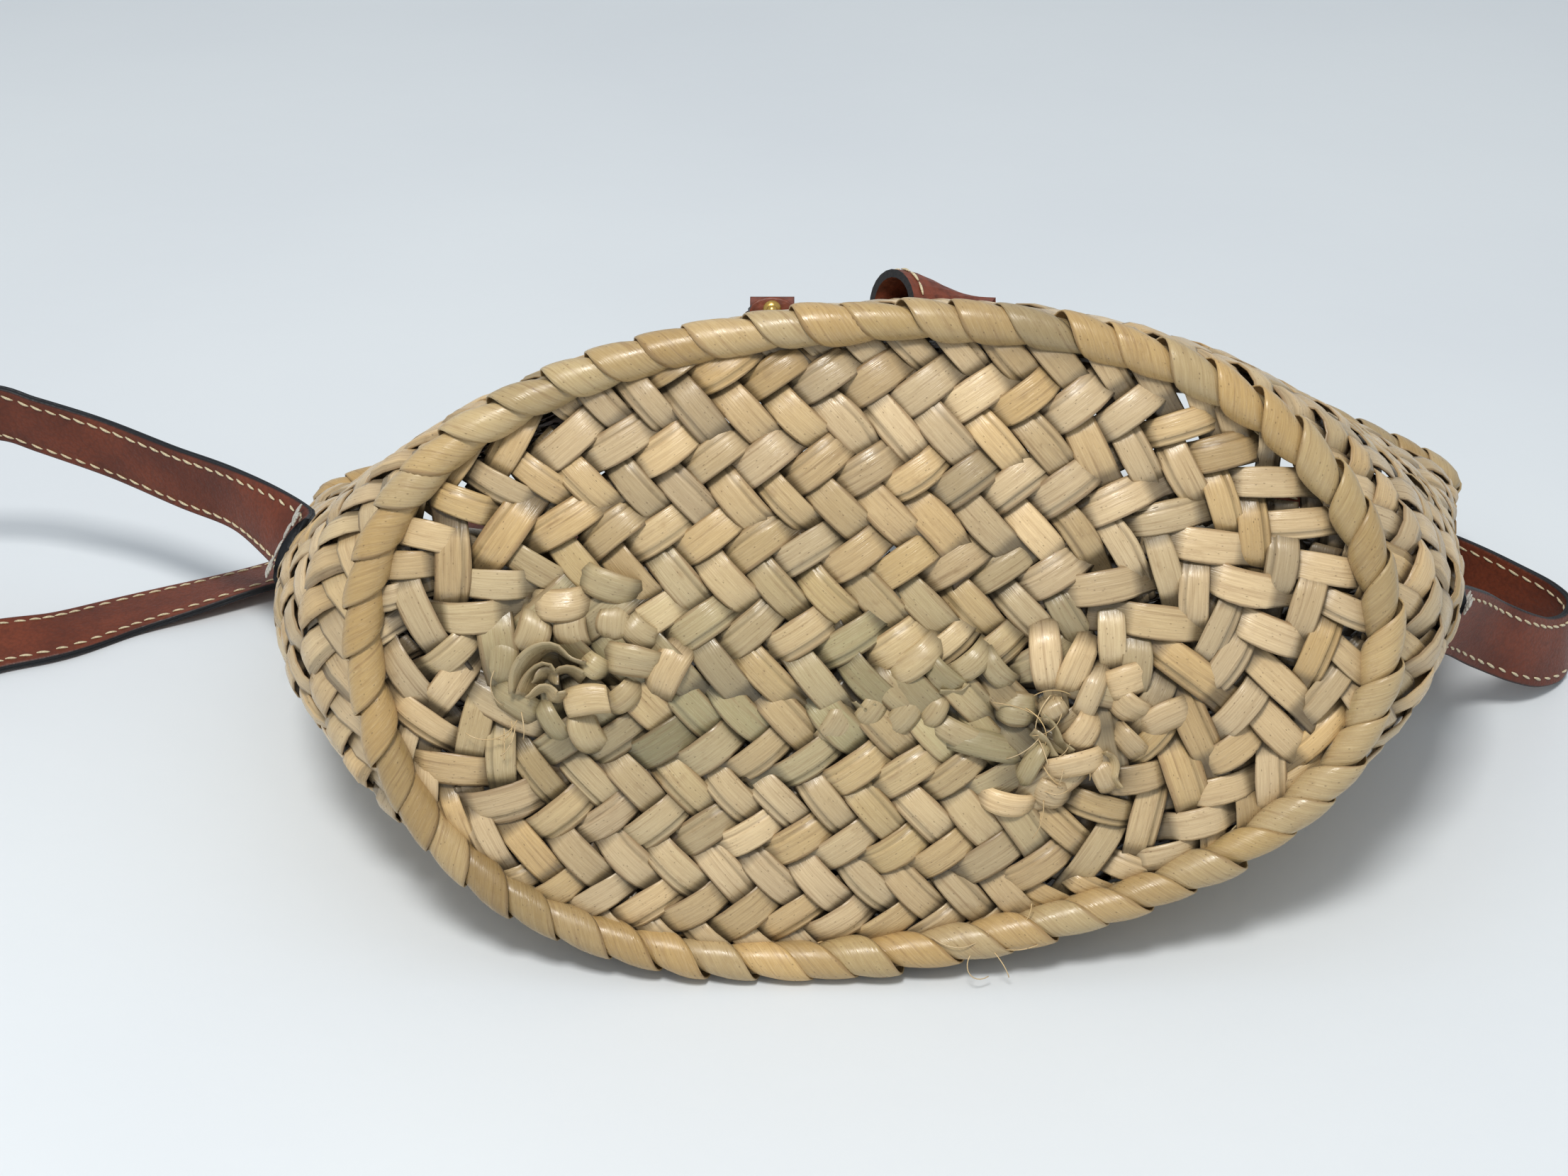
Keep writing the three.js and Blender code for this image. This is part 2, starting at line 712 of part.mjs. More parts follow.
// The stud sits on the near slope of the arch
const slope = closureTabProfile();
const studFoot = slope[1].clone().lerp(slope[2], 0.5);
const studTangent = slope[2].clone().sub(slope[1]).normalize();
const studLift = closureTabThickness + 2 * contactGap;
const stud = buildStud();
stud.rotateX(Math.atan2(studTangent.y, studTangent.x));
stud.translate(0, studFoot.x - studTangent.y * studLift, studFoot.y + studTangent.x * studLift);
addPart('tab_stud', stud.applyMatrix4(tabSeat), brass);

addPart('curled_tab', buildCurledTab().applyMatrix4(seatOnTop(closureStation, curledTabAcross)), brownLeather);

// The origin is the middle of the bag's footprint, on the table
bag.updateMatrixWorld(true);
const bounds = new THREE.Box3().setFromObject(bag, true);
bag.position.set(
  -(bounds.min.x + bounds.max.x) / 2,
  -(bounds.min.y + bounds.max.y) / 2,
  -bounds.min.z,
);

export default bag;
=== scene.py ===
import math

import bpy
import numpy as np
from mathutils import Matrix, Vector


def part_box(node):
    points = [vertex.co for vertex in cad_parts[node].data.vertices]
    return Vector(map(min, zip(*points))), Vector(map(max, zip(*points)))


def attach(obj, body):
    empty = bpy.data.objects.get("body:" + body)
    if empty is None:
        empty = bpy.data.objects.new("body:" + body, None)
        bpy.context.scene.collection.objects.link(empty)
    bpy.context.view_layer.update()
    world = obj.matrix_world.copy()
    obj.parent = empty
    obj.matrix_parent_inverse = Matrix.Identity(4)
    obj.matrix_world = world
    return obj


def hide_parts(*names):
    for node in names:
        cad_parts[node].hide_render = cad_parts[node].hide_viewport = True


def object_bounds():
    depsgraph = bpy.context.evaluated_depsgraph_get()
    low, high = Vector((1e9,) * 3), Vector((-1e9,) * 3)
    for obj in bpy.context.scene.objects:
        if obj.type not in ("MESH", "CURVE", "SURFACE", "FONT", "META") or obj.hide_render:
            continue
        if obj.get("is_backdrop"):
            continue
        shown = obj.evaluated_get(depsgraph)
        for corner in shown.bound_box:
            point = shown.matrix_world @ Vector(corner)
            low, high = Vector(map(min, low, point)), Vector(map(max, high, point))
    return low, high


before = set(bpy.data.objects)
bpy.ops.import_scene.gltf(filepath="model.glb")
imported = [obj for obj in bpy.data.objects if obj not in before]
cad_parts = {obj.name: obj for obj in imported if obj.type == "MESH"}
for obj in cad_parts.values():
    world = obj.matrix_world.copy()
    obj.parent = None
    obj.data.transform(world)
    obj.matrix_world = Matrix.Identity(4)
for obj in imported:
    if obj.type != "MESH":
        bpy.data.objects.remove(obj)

startBounds = [list(corner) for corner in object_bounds()]
print("frame loaded")

mm = 0.001
radians = math.pi / 180

# ---- the basket's form, as in the solids, in millimetres

bag = {
    "height": 187, "baseWidth": 269, "baseDepth": 181, "mouthWidth": 361, "mouthDepth": 76,
    "mouthShift": 21, "mouthRise": 16, "wallThickness": 2.6, "panelThickness": 2.6, "panelDome": 3.5,
    "baseRim": 10, "mouthRim": 11, "wallInset": 1.2, "wallCrown": 2, "gap": 0.3,
    "knotSpan": 125, "knotShift": -16, "knotSlope": -6, "knotDrop": 12,
}
wallForm = np.array([  # at, widen, thin, crown, square
    [0.00, 0.00, 0.00, 0.0, 2.04],
    [0.12, 0.38, 0.12, 0.4, 2.01],
    [0.28, 0.65, 0.28, 0.8, 1.96],
    [0.50, 0.79, 0.50, 1.0, 1.90],
    [0.75, 0.90, 0.75, 0.7, 1.88],
    [1.00, 1.00, 1.00, 0.0, 1.88],
])
baseWaves = [(2, 0.025, 90), (3, 0.016, 21), (4, 0.019, -127)]  # order, share, phase
mouthWaves = [(2, 0.120, 100), (3, 0.088, -101), (4, 0.050, -15)]
rimRadius = bag["baseRim"] / 2
mouthRimRadius = bag["mouthRim"] / 2
fineSteps = 480


def mix(a, b, t):
    return a + (b - a) * t


def readColumn(column, share):
    last = len(wallForm) - 1
    row = int(np.clip(np.searchsorted(wallForm[1:last, 0], share), 0, last - 1))
    values = wallForm[:, column]
    a, b, c, d = values[max(row - 1, 0)], values[row], values[row + 1], values[min(row + 2, last)]
    t = np.clip((share - wallForm[row, 0]) / (wallForm[row + 1, 0] - wallForm[row, 0]), 0, 1)
    t2, t3 = t * t, t * t * t
    return (b * (2 * t3 - 3 * t2 + 1) + (c - a) / 2 * (t3 - 2 * t2 + t)
            + c * (3 * t2 - 2 * t3) + (d - b) / 2 * (t3 - t2))


def waveSum(waves, angle):
    return sum(share * np.cos(order * angle - phase * radians) for order, share, phase in waves)


def ovalAt(along):
    share = along / bag["height"]
    halfWidth = mix(bag["baseWidth"], bag["mouthWidth"], readColumn(1, share)) / 2
    halfDepth = mix(bag["baseDepth"], bag["mouthDepth"], readColumn(2, share)) / 2
    crown = bag["wallCrown"] * readColumn(3, share)
    power = 2 / readColumn(4, share)
    angle = np.linspace(0, 2 * math.pi, fineSteps + 1)
    swell = 1 + (1 - share) * waveSum(baseWaves, angle) + share * waveSum(mouthWaves, angle)
    bent = lambda v: np.sign(v) * np.abs(v) ** power
    across = halfWidth * swell * bent(np.cos(angle)) + bag["mouthShift"] * share * share
    rise = halfDepth * swell * bent(np.sin(angle)) + bag["mouthRise"] * share + crown * np.maximum(np.sin(angle), 0)
    fine = np.stack([across, rise], 1)
    steps = np.hypot(*np.diff(fine, axis=0).T)
    return fine, np.concatenate([[0], np.cumsum(steps)])


def ovalRing(along, inset, steps):
    fine, lengths = ovalAt(along)
    wanted = np.arange(steps) / steps * lengths[-1]
    low = np.clip(np.searchsorted(lengths, wanted, side="right") - 1, 0, fineSteps - 1)
    t = (wanted - lengths[low]) / (lengths[low + 1] - lengths[low])
    point = mix(fine[low], fine[low + 1], t[:, None])
    tangent = fine[(low + 3) % fineSteps] - fine[(low - 2) % fineSteps]
    tangent /= np.linalg.norm(tangent, axis=1)[:, None]
    return point + inset * np.stack([-tangent[:, 1], tangent[:, 0]], 1)


coarse = 64  # the solids' own steps round the basket
baseLow = ovalRing(rimRadius, rimRadius, coarse)[:, 1].min()
climb = ovalRing(bag["height"] - mouthRimRadius, mouthRimRadius, coarse)[:, 1].min() - baseLow
reach = bag["height"] - rimRadius - mouthRimRadius
lean = math.atan(climb / reach) - math.asin((mouthRimRadius - rimRadius) / math.hypot(climb, reach))
riseAxis = np.array([0, math.sin(lean), math.cos(lean)])
bagAxis = np.array([0, math.cos(lean), -math.sin(lean)])
acrossAxis = np.array([1.0, 0, 0])


def toRaw(across, rise, along):
    across, rise, along = (np.asarray(v, float)[..., None] for v in np.broadcast_arrays(across, rise, along))
    return across * acrossAxis + rise * riseAxis + along * bagAxis


def rimSurface(path, outward, middle, theta, away):
    flat = path + outward * (away * np.cos(theta))[..., None]
    return toRaw(flat[..., 0], flat[..., 1], middle - away * np.sin(theta))


rimPath = ovalRing(rimRadius, rimRadius, coarse)
rimOut = (ovalRing(rimRadius, 0, coarse) - rimPath) / rimRadius
rimTurn = np.arange(12) / 12 * 2 * math.pi
rimRaw = rimSurface(rimPath[:, None], rimOut[:, None], rimRadius, rimTurn[None], rimRadius + 0 * rimTurn[None])
place = np.array(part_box("base_rim")[0]) / mm - rimRaw.reshape(-1, 3).min(0)
print("lean", round(lean / radians, 2), "place", place.round(2))

# The wall's outer skin on a grid of along and girth share, with outward normals
alongGrid = np.linspace(0, bag["height"], 126)
shareSteps = 720
skin = []
for along in alongGrid:
    flat = ovalRing(along, 0, shareSteps)
    skin.append(toRaw(flat[:, 0], flat[:, 1], along))
skin = np.array(skin)
roundStep = np.roll(skin, -1, 1) - np.roll(skin, 1, 1)
forwardStep = np.gradient(skin, axis=0)
skinNormal = np.cross(forwardStep, roundStep)
skinNormal /= np.linalg.norm(skinNormal, axis=2)[..., None]
girthAt = np.linalg.norm(np.roll(skin, -1, 1) - skin, axis=2).sum(1)


def wallAt(share, along):
    row = np.clip(along, 0, bag["height"]) / bag["height"] * (len(alongGrid) - 1)
    low = np.minimum(row.astype(int), len(alongGrid) - 2)
    v = (row - low)[..., None]
    column = (share % 1) * shareSteps
    left = column.astype(int) % shareSteps
    right = (left + 1) % shareSteps
    u = (column - np.floor(column))[..., None]
    def blend(grid):
        return mix(mix(grid[low, left], grid[low, right], u), mix(grid[low + 1, left], grid[low + 1, right], u), v)
    normal = blend(skinNormal)
    return blend(skin), normal / np.linalg.norm(normal, axis=-1)[..., None]


def insetAt(along):
    def rampUp(x, a, b):
        t = np.clip((x - a) / (b - a), 0, 1)
        return t * t * (3 - 2 * t)
    fromBase = rampUp(along, bag["baseRim"], bag["baseRim"] * 2.2)
    fromMouth = rampUp(bag["height"] - along, bag["mouthRim"], bag["mouthRim"] * 2.2)
    atBase = rimRadius - bag["wallThickness"] / 2 - bag["wallInset"]
    atMouth = mouthRimRadius - bag["wallThickness"] / 2 - bag["wallInset"]
    return bag["wallInset"] + atBase * (1 - fromBase) + atMouth * (1 - fromMouth)


# ---- helpers for meshes

def makeMesh(name, points, faces, uv=None, tone=None, smooth=True):
    mesh = bpy.data.meshes.new(name)
    points = (np.asarray(points).reshape(-1, 3) + place) * mm
    faces = np.asarray(faces, np.int32)
    sides = faces.shape[1]
    mesh.vertices.add(len(points))
    mesh.vertices.foreach_set("co", points.ravel())
    mesh.loops.add(faces.size)
    mesh.loops.foreach_set("vertex_index", faces.ravel())
    mesh.polygons.add(len(faces))
    mesh.polygons.foreach_set("loop_start", np.arange(len(faces), dtype=np.int32) * sides)
    mesh.polygons.foreach_set("use_smooth", np.full(len(faces), smooth))
    if uv is not None:
        layer = mesh.uv_layers.new(name="leaf")
        layer.data.foreach_set("uv", np.asarray(uv, np.float32).reshape(-1, 2)[faces.ravel()].ravel())
    if tone is not None:
        colour = mesh.color_attributes.new("tone", "FLOAT_COLOR", "POINT")
        colour.data.foreach_set("color", np.asarray(tone, np.float32).reshape(-1, 4).ravel())
    mesh.update(calc_edges=True)
    mesh.validate()
    piece = bpy.data.objects.new(name, mesh)
    bpy.context.scene.collection.objects.link(piece)
    return piece


def gridFaces(rows, columns):
    i, j = np.meshgrid(np.arange(rows - 1), np.arange(columns - 1), indexing="ij")
    a = (i * columns + j).ravel()
    return np.stack([a, a + columns, a + columns + 1, a + 1], 1)


def leafFaces(rows, columns):
    front = gridFaces(rows, columns)
    sheet = rows * columns
    back = front[:, ::-1] + sheet
    i = np.arange(rows - 1) * columns
    j = np.arange(columns - 1)
    last = (rows - 1) * columns
    left = np.stack([i, i + sheet, i + columns + sheet, i + columns], 1)
    right = np.stack([i, i + columns, i + columns + sheet, i + sheet], 1) + columns - 1
    start = np.stack([j, j + 1, j + 1 + sheet, j + sheet], 1)
    end = np.stack([j, j + sheet, j + 1 + sheet, j + 1], 1) + last
    return np.concatenate([front, back, left, right, start, end])


def leafPiece(name, points, normals, uv, tone, thickness):
    """points, normals (leaf, rows, columns, 3); uv in mm; tone (leaf, 4) or (leaf, rows, columns, 4)"""
    count, rows, columns, _ = points.shape
    under = points - normals * thickness
    both = np.stack([points, under], 1).reshape(count, -1, 3)
    uvBoth = np.stack([uv, uv], 1).reshape(count, -1, 2)
    if tone.ndim == 2:
        tone = np.broadcast_to(tone[:, None, None, :], points.shape[:3] + (4,))
    toneBoth = np.stack([tone, tone], 1).reshape(count, -1, 4)
    template = leafFaces(rows, columns)
    turn = np.cross(points[:, 1:, :-1] - points[:, :-1, :-1], points[:, :-1, 1:] - points[:, :-1, :-1])
    if (turn * normals[:, :-1, :-1]).sum() < 0:
        template = template[:, ::-1]
    faces = (template[None] + (np.arange(count) * both.shape[1])[:, None, None]).reshape(-1, 4)
    return makeMesh(name, both, faces, uvBoth, toneBoth)


def finishPiece(piece, node, material):
    piece.data.materials.clear()
    piece.data.materials.append(material)
    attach(piece, "root")
    if node:
        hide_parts(node)
    print(piece.name, sum(len(p.vertices) - 2 for p in piece.data.polygons), "triangles")


def unit(v):
    return v / np.linalg.norm(v, axis=-1)[..., None]


def slowNoise(p, seed, size):
    """Smooth wandering values over points, from a few fixed waves"""
    random = np.random.default_rng(seed)
    total = np.zeros(p.shape[:-1])
    for k in range(7):
        direction = random.normal(size=p.shape[-1])
        direction /= np.linalg.norm(direction)
        total += np.sin(p @ direction * (2 * math.pi / size) * random.uniform(0.6, 1.5) + random.uniform(0, 6.28))
    return total / 2.6


# ---- materials

def newMaterial(name):
    material = bpy.data.materials.new(name)
    material.use_nodes = True
    tree = material.node_tree
    tree.nodes.clear()
    return material, tree


class Builder:
    def __init__(self, tree):
        self.tree = tree

    def node(self, kind, inputs=None, **settings):
        made = self.tree.nodes.new(kind)
        for key, value in settings.items():
            setattr(made, key, value)
        for key, value in (inputs or {}).items():
            socket = made.inputs[key]
            if isinstance(value, bpy.types.NodeSocket):
                self.tree.links.new(value, socket)
            else:
                socket.default_value = value
        return made

    def math(self, operation, a, b=0.0, clamp=False):
        return self.node("ShaderNodeMath", {0: a, 1: b}, operation=operation, use_clamp=clamp).outputs[0]

    def ramp(self, value, low, high, outLow=0.0, outHigh=1.0):
        return self.node("ShaderNodeMapRange", {0: value, 1: low, 2: high, 3: outLow, 4: outHigh},
                         interpolation_type="SMOOTHSTEP").outputs[0]

    def blend(self, factor, a, b, how="MIX"):
        made = self.node("ShaderNodeMix", data_type="RGBA", blend_type=how, clamp_factor=True)
        for index, value in ((0, factor), (6, a), (7, b)):
            if isinstance(value, bpy.types.NodeSocket):
                self.tree.links.new(value, made.inputs[index])
            else:
                made.inputs[index].default_value = value
        return made.outputs[2]

    def noise(self, vector, scale, detail=3.0, rough=0.5):
        return self.node("ShaderNodeTexNoise", {"Vector": vector, "Scale": scale, "Detail": detail,
                                                "Roughness": rough}).outputs[0]


def linear(r, g, b):
    fix = lambda v: ((v / 255 + 0.055) / 1.055) ** 2.4 if v > 10 else v / 255 / 12.92
    return (fix(r), fix(g), fix(b), 1)


leafLook = {
    "pale": (210, 187, 149), "gold": (208, 177, 125), "green": (164, 156, 118), "brown": (138, 106, 70),
    "dark": (88, 64, 40), "roughLow": 0.24, "roughHigh": 0.44, "edge": 3.9,
}


def leafMaterial(name, look, warm=0.0):
    """tone: red = lightness with painted shade multiplied in, green = how grey-green, blue = how golden, alpha = seed
    """
    material, tree = newMaterial(name)
    b = Builder(tree)
    uv = b.node("ShaderNodeUVMap", uv_map="leaf").outputs[0]
    tone = b.node("ShaderNodeVertexColor", layer_name="tone")
    split = b.node("ShaderNodeSeparateColor", {0: tone.outputs[0]})
    light, green, gold = split.outputs[0], split.outputs[1], split.outputs[2]
    seed = tone.outputs[1]
    place3 = b.node("ShaderNodeTexCoord").outputs[3]
    parts = b.node("ShaderNodeSeparateXYZ", {0: uv})
    seedFar = b.math("MULTIPLY", seed, 57.0)
    lengthways = b.node("ShaderNodeCombineXYZ", {0: b.math("MULTIPLY", parts.outputs[0], 0.035),
                                                 1: b.math("MULTIPLY", parts.outputs[1], 1.0), 2: seedFar}).outputs[0]
    patchy = b.node("ShaderNodeCombineXYZ", {0: b.math("MULTIPLY", parts.outputs[0], 0.3),
                                             1: b.math("MULTIPLY", parts.outputs[1], 0.5), 2: seedFar}).outputs[0]
    ribs = b.noise(lengthways, 2.6, 2.0, 0.6)
    fineRibs = b.noise(lengthways, 8.0, 2.0, 0.6)
    streaks = b.noise(lengthways, 1.1, 3.0, 0.6)
    blot = b.noise(patchy, 0.55, 3.0, 0.6)
    mottled = b.noise(place3, 900.0, 3.0, 0.6)
    base = b.blend(b.ramp(gold, 0.0, 1.0), linear(*look["pale"]), linear(*look["gold"]))
    base = b.blend(green, base, linear(*look["green"]))
    base = b.blend(b.ramp(streaks, 0.52, 0.78, 0.0, 0.55), base, linear(*look["brown"]))
    base = b.blend(b.ramp(blot, 0.58, 0.80, 0.0, 0.35), base, linear(*look["brown"]))
    base = b.blend(b.ramp(ribs, 0.35, 0.7, 0.24, 0.0), base, linear(*look["brown"]))
    base = b.blend(b.ramp(fineRibs, 0.5, 0.8, 0.0, 0.25), base, linear(235, 218, 184))
    base = b.blend(b.ramp(mottled, 0.62, 0.8, 0.0, 0.3), base, linear(*look["dark"]))
    specks = b.node("ShaderNodeTexVoronoi", {"Vector": b.node("ShaderNodeCombineXYZ", {
        0: b.math("MULTIPLY", parts.outputs[0], 0.45), 1: parts.outputs[1], 2: seedFar}).outputs[0],
        "Scale": 0.9, "Randomness": 1.0})
    speck = b.ramp(specks.outputs[0], 0.06, 0.16, 0.55, 0.0)
    base = b.blend(speck, base, linear(*look["dark"]))
    offMiddle = b.math("ABSOLUTE", parts.outputs[1])
    rim = b.ramp(offMiddle, look["edge"] - 0.35, look["edge"] + 0.25, 0.0, 0.45)
    base = b.blend(rim, base, linear(*look["brown"]))
    # the tone's lightness, random tone and painted shade together, darkens the colour
    shade = b.math("MAXIMUM", b.math("ADD", b.math("MULTIPLY", light, 0.7), 0.6), 0.12)
    base = b.blend(1.0, base, b.node("ShaderNodeCombineColor", {0: shade, 1: shade, 2: shade}).outputs[0], "MULTIPLY")
    height = b.math("ADD", b.math("MULTIPLY", ribs, 0.55), b.math("MULTIPLY", fineRibs, 0.18))
    height = b.math("ADD", height, b.math("MULTIPLY", blot, 0.5))
    bump = b.node("ShaderNodeBump", {"Strength": 0.55, "Distance": 0.00035, "Height": height})
    rough = b.ramp(b.noise(patchy, 0.8, 2.0, 0.5), 0.3, 0.7, look["roughLow"], look["roughHigh"])
    shader = b.node("ShaderNodeBsdfPrincipled", {
        "Base Color": base, "Roughness": rough, "Normal": bump.outputs[0], "Sheen Weight": 0.05,
        "Specular IOR Level": 0.65})
    b.node("ShaderNodeOutputMaterial", {0: shader.outputs[0]})
    return material


leafStuff = leafMaterial("palmLeaf", leafLook)
wrapStuff = leafMaterial("palmWrap", dict(leafLook, pale=(192, 170, 128), gold=(188, 158, 106), edge=5.2))


def randomTone(random, count, light=0.5, spread=0.16, green=0.0, gold=0.3):
    tone = np.zeros((count, 4))
    tone[:, 0] = np.clip(random.normal(light, spread, count), 0.05, 1)
    tone[:, 1] = np.clip(green + random.normal(0, 0.12, count), 0, 1)
    tone[:, 2] = np.clip(gold + random.normal(0, 0.3, count), 0, 1)
    tone[:, 3] = random.uniform(0, 1, count)
    return tone


# ---- plaited floats: each leaf rises over two crossings and dips under the next two

# endShade, edgeShade and creaseShade set painted shade at float ends, outer edges and creases
plait = {
    "pitch": 12.57, "rowStep": 11.0, "lift": 1.75, "dome": 0.4, "shingle": 0.4, "thickness": 0.45,
    "creaseStep": 0.6, "creasedShare": 0.55, "creaseShade": 0.3, "arch": 2.9, "dip": 0.3, "endShade": 0.68, "edgeShade": 0.16,
}
shadeLift = 0.86  # the leaf's own colour times 0.7 * (tone + shadeLift)
floatRun = math.hypot(plait["pitch"], plait["rowStep"])  # the length that shows, over two crossings
stripWidth = plait["pitch"] * plait["rowStep"] / floatRun


def floatShape(random, count, rows, columns, reachShare=1.0, width=1.0, widthSpread=0.06, liftSpread=0.2, stretch=1.0):
    """Local a (lengthways), y (across), height and painted shade of every vertex of each float"""
    a = np.linspace(-1, 1, rows)
    a = np.sign(a) * np.abs(a) ** 0.8 * reachShare  # in runs of one float
    edges = {7: [-1, -0.8, -0.3, 0.2, 0.44, 0.52, 1], 9: [-1, -0.85, -0.5, -0.1, 0.25, 0.44, 0.52, 0.82, 1]}[columns]
    hand = np.sign(random.uniform(-1, 1, count))[:, None, None]
    edge = np.array(edges)[None, None, :] * hand
    y = edge
    half = stripWidth / 2 * width * (1 + random.normal(0, widthSpread, count)).clip(0.8, 1.15)
    out = np.abs(2 * a)
    over = 1 - (1 + plait["dip"]) * np.minimum(out, 1) ** plait["arch"]
    under = np.clip((out - 1) / 0.45, 0, 1)
    crossing = over - (1 - plait["dip"]) * under * (2 - under)
    lift = plait["lift"] * (1 + random.normal(0, liftSpread, count)).clip(0.5, 1.5)
    height = lift[:, None] * crossing[None]
    cross = -plait["dome"] * (0.55 * y ** 2 + 0.45 * y ** 6) * random.uniform(0.5, 1.5, count)[:, None, None]
    creased = (random.uniform(0, 1, count) < plait["creasedShare"])[:, None, None]
    folded = np.where(y * hand > 0.5, 1.0, 0.0)
    cross = cross - creased * folded * plait["creaseStep"] * random.uniform(0.5, 1.4, count)[:, None, None]
    cross = cross + plait["shingle"] * y * random.normal(1.0, 0.35, count)[:, None, None]
    waist = 1 + 0.03 * np.cos(2 * math.pi * a)
    run = floatRun * stretch * np.ones(count)
    far = a[None, :, None] * run[:, None, None] + 0 * y
    y = y * half[:, None, None] * waist[None, :, None]
    bow = random.normal(0, 0.45, count)[:, None, None] * (2 * a[None, :, None]) ** 2
    twist = random.normal(0, 0.4, count)[:, None, None] * a[None, :, None] * y / half[:, None, None]
    # painted shade: darker where the float dives under its neighbours, along its outer edges and along its crease
    diveShade = np.clip((np.abs(a) - 0.4) / 0.15, 0, 1)[None, :, None]
    shade = 1 - plait["endShade"] * diveShade * diveShade * (3 - 2 * diveShade) - plait["edgeShade"] * (np.abs(edge) > 0.9)
    shade = shade * (1 - plait["creaseShade"] * creased * (np.abs(edge * hand - 0.52) < 0.02))
    return far, y + bow, height[:, :, None] + cross + twist, shade


def numericNormals(points):
    lengthways = np.gradient(points, axis=1)
    sideways = np.gradient(points, axis=2)
    return unit(np.cross(lengthways, sideways))


def squeeze(value, limit, soft):
    """Values past the limit come to rest softly just beyond it"""
    over = np.maximum(value - limit, 0)
    return np.minimum(value, limit) + soft * (1 - np.exp(-over / soft))


# The wall
wallLook = {"perRow": 64, "firstRow": 9.5, "lastRow": 181, "width": 1.0, "raise": 1.0, "seed": 11}


def wallFloats(parity):
    random = np.random.default_rng(wallLook["seed"] + parity)
    rowCount = int(round((wallLook["lastRow"] - wallLook["firstRow"]) / plait["rowStep"])) + 1
    rowsAt = np.linspace(wallLook["firstRow"], wallLook["lastRow"], rowCount)
    chosen = np.arange(parity, rowCount, 2)
    share = (np.arange(wallLook["perRow"])[None] + 0.5 * parity) / wallLook["perRow"] + np.zeros((len(chosen), 1))
    along = rowsAt[chosen][:, None] + np.zeros_like(share)
    share, along = share.ravel(), along.ravel()
    count = len(share)
    a, y, height, shade = floatShape(random, count, 11, 7, 0.95, wallLook["width"], 0.06, 0.25)
    height = height * 0.8
    girth = np.interp(along, alongGrid, girthAt)
    localPitch = girth / wallLook["perRow"]
    slant = 1 if parity else -1
    swing = random.normal(0, 3.5, count) * radians
    length = np.hypot(localPitch, plait["rowStep"])
    du, dv = slant * localPitch / length, plait["rowStep"] / length
    du, dv = du * np.cos(swing) - dv * np.sin(swing), du * np.sin(swing) + dv * np.cos(swing)
    du, dv = du[:, None, None], dv[:, None, None]
    jitterU = random.normal(0, 0.5, count)[:, None, None]
    jitterV = random.normal(0, 0.5, count)[:, None, None]
    u = a * du + y * dv + jitterU
    v = a * dv - y * du + jitterV
    atShare = share[:, None, None] + u / girth[:, None, None]
    atAlong = along[:, None, None] + v
    atAlong = squeeze(atAlong, bag["height"] - mouthRimRadius, 1.5)
    atAlong = -squeeze(-atAlong, -rimRadius, 1.5)
    skinPoint, normal = wallAt(atShare, atAlong)
    sink = insetAt(atAlong) + bag["wallThickness"] / 2 - wallLook["raise"]
    puff = random.normal(0, 0.18, count)[:, None, None]
    pinch = np.clip((atAlong - rimRadius) / 9, 0.35, 1) * np.clip((bag["height"] - mouthRimRadius - atAlong) / 9, 0.35, 1)
    points = skinPoint + normal * ((height + puff) * pinch - sink)[..., None]
    uv = np.stack([a + random.uniform(0, 900, count)[:, None, None], y], -1)
    tone = randomTone(random, count, 0.59, 0.13, 0.04, 0.22)
    wander = slowNoise(points.mean((1, 2)), 5, 180)
    tone[:, 2] = np.clip(tone[:, 2] + 0.18 * wander, 0, 1)
    tone[:, 0] = np.clip(tone[:, 0] + 0.05 * wander, 0.05, 1)
    # painted shade from the float's shape darkens each vertex's lightness
    tone = np.broadcast_to(tone[:, None, None, :], points.shape[:3] + (4,)).copy()
    tone[..., 0] = (tone[..., 0] + shadeLift) * shade - shadeLift
    name = "wall_leaves_rising" if parity else "wall_leaves_falling"
    normals = numericNormals(points)
    facing = np.sign((normals * normal).sum(-1).mean((1, 2)))[:, None, None, None]
    return orientedLeaves(name, points, normals * facing, facing, uv, tone, plait["thickness"])


def orientedLeaves(name, points, normals, facing, uv, tone, thickness):
    """Leaves whose columns run the wrong way round are mirrored in place, so that all faces turn alike"""
    flip = facing[:, 0, 0, 0] < 0
    points[flip] = points[flip][:, :, ::-1]
    normals[flip] = normals[flip][:, :, ::-1]
    uv[flip] = uv[flip][:, :, ::-1]
    if tone.ndim == 4:
        tone[flip] = tone[flip][:, :, ::-1]
    return leafPiece(name, points, normals, uv, tone, thickness)


for parity in (0, 1):
    piece = wallFloats(parity)
    finishPiece(piece, "basket_wall" if parity == 0 else None, leafStuff)

# The base: rows run round the two knots like a race track
# rimShade, rimFade and topFade set the painted shade under the rim
baseLook = {"seed": 23, "rows": 9, "straight": 10, "width": 1.06, "rimShade": 0.85, "rimFade": 6.5, "topFade": 4.5, "rimNarrow": 0.14, "looseNarrow": 0.05,
            "shadowPits": [  # painted shadow of dark pits: knot, across, rise, width, depth (how dark)
                (0, 0, 2, 9, 0.9), (0, -16, -1, 6, 0.6), (0, 2, -19, 6, 0.5), (1, -2, -2, 7, 0.85), (1, 4, 10, 6, 0.6),
                (1, 15, -1, 6, 0.7), (1, 18, -14, 6, 0.6), (1, -8, -15, 6, 0.6), (1, -12, 10, 6, 0.5), (1, 30, 8, 6, 0.4),
            ]}
knotAt = []
for side in (-1, 1):
    across = bag["knotShift"] + side * bag["knotSpan"] / 2
    rise = side * bag["knotSpan"] / 2 * math.tan(bag["knotSlope"] * radians) - bag["knotDrop"]
    knotAt.append(np.array([across, rise]))
seamWay = unit(knotAt[1] - knotAt[0])
seamUp = np.array([-seamWay[1], seamWay[0]])
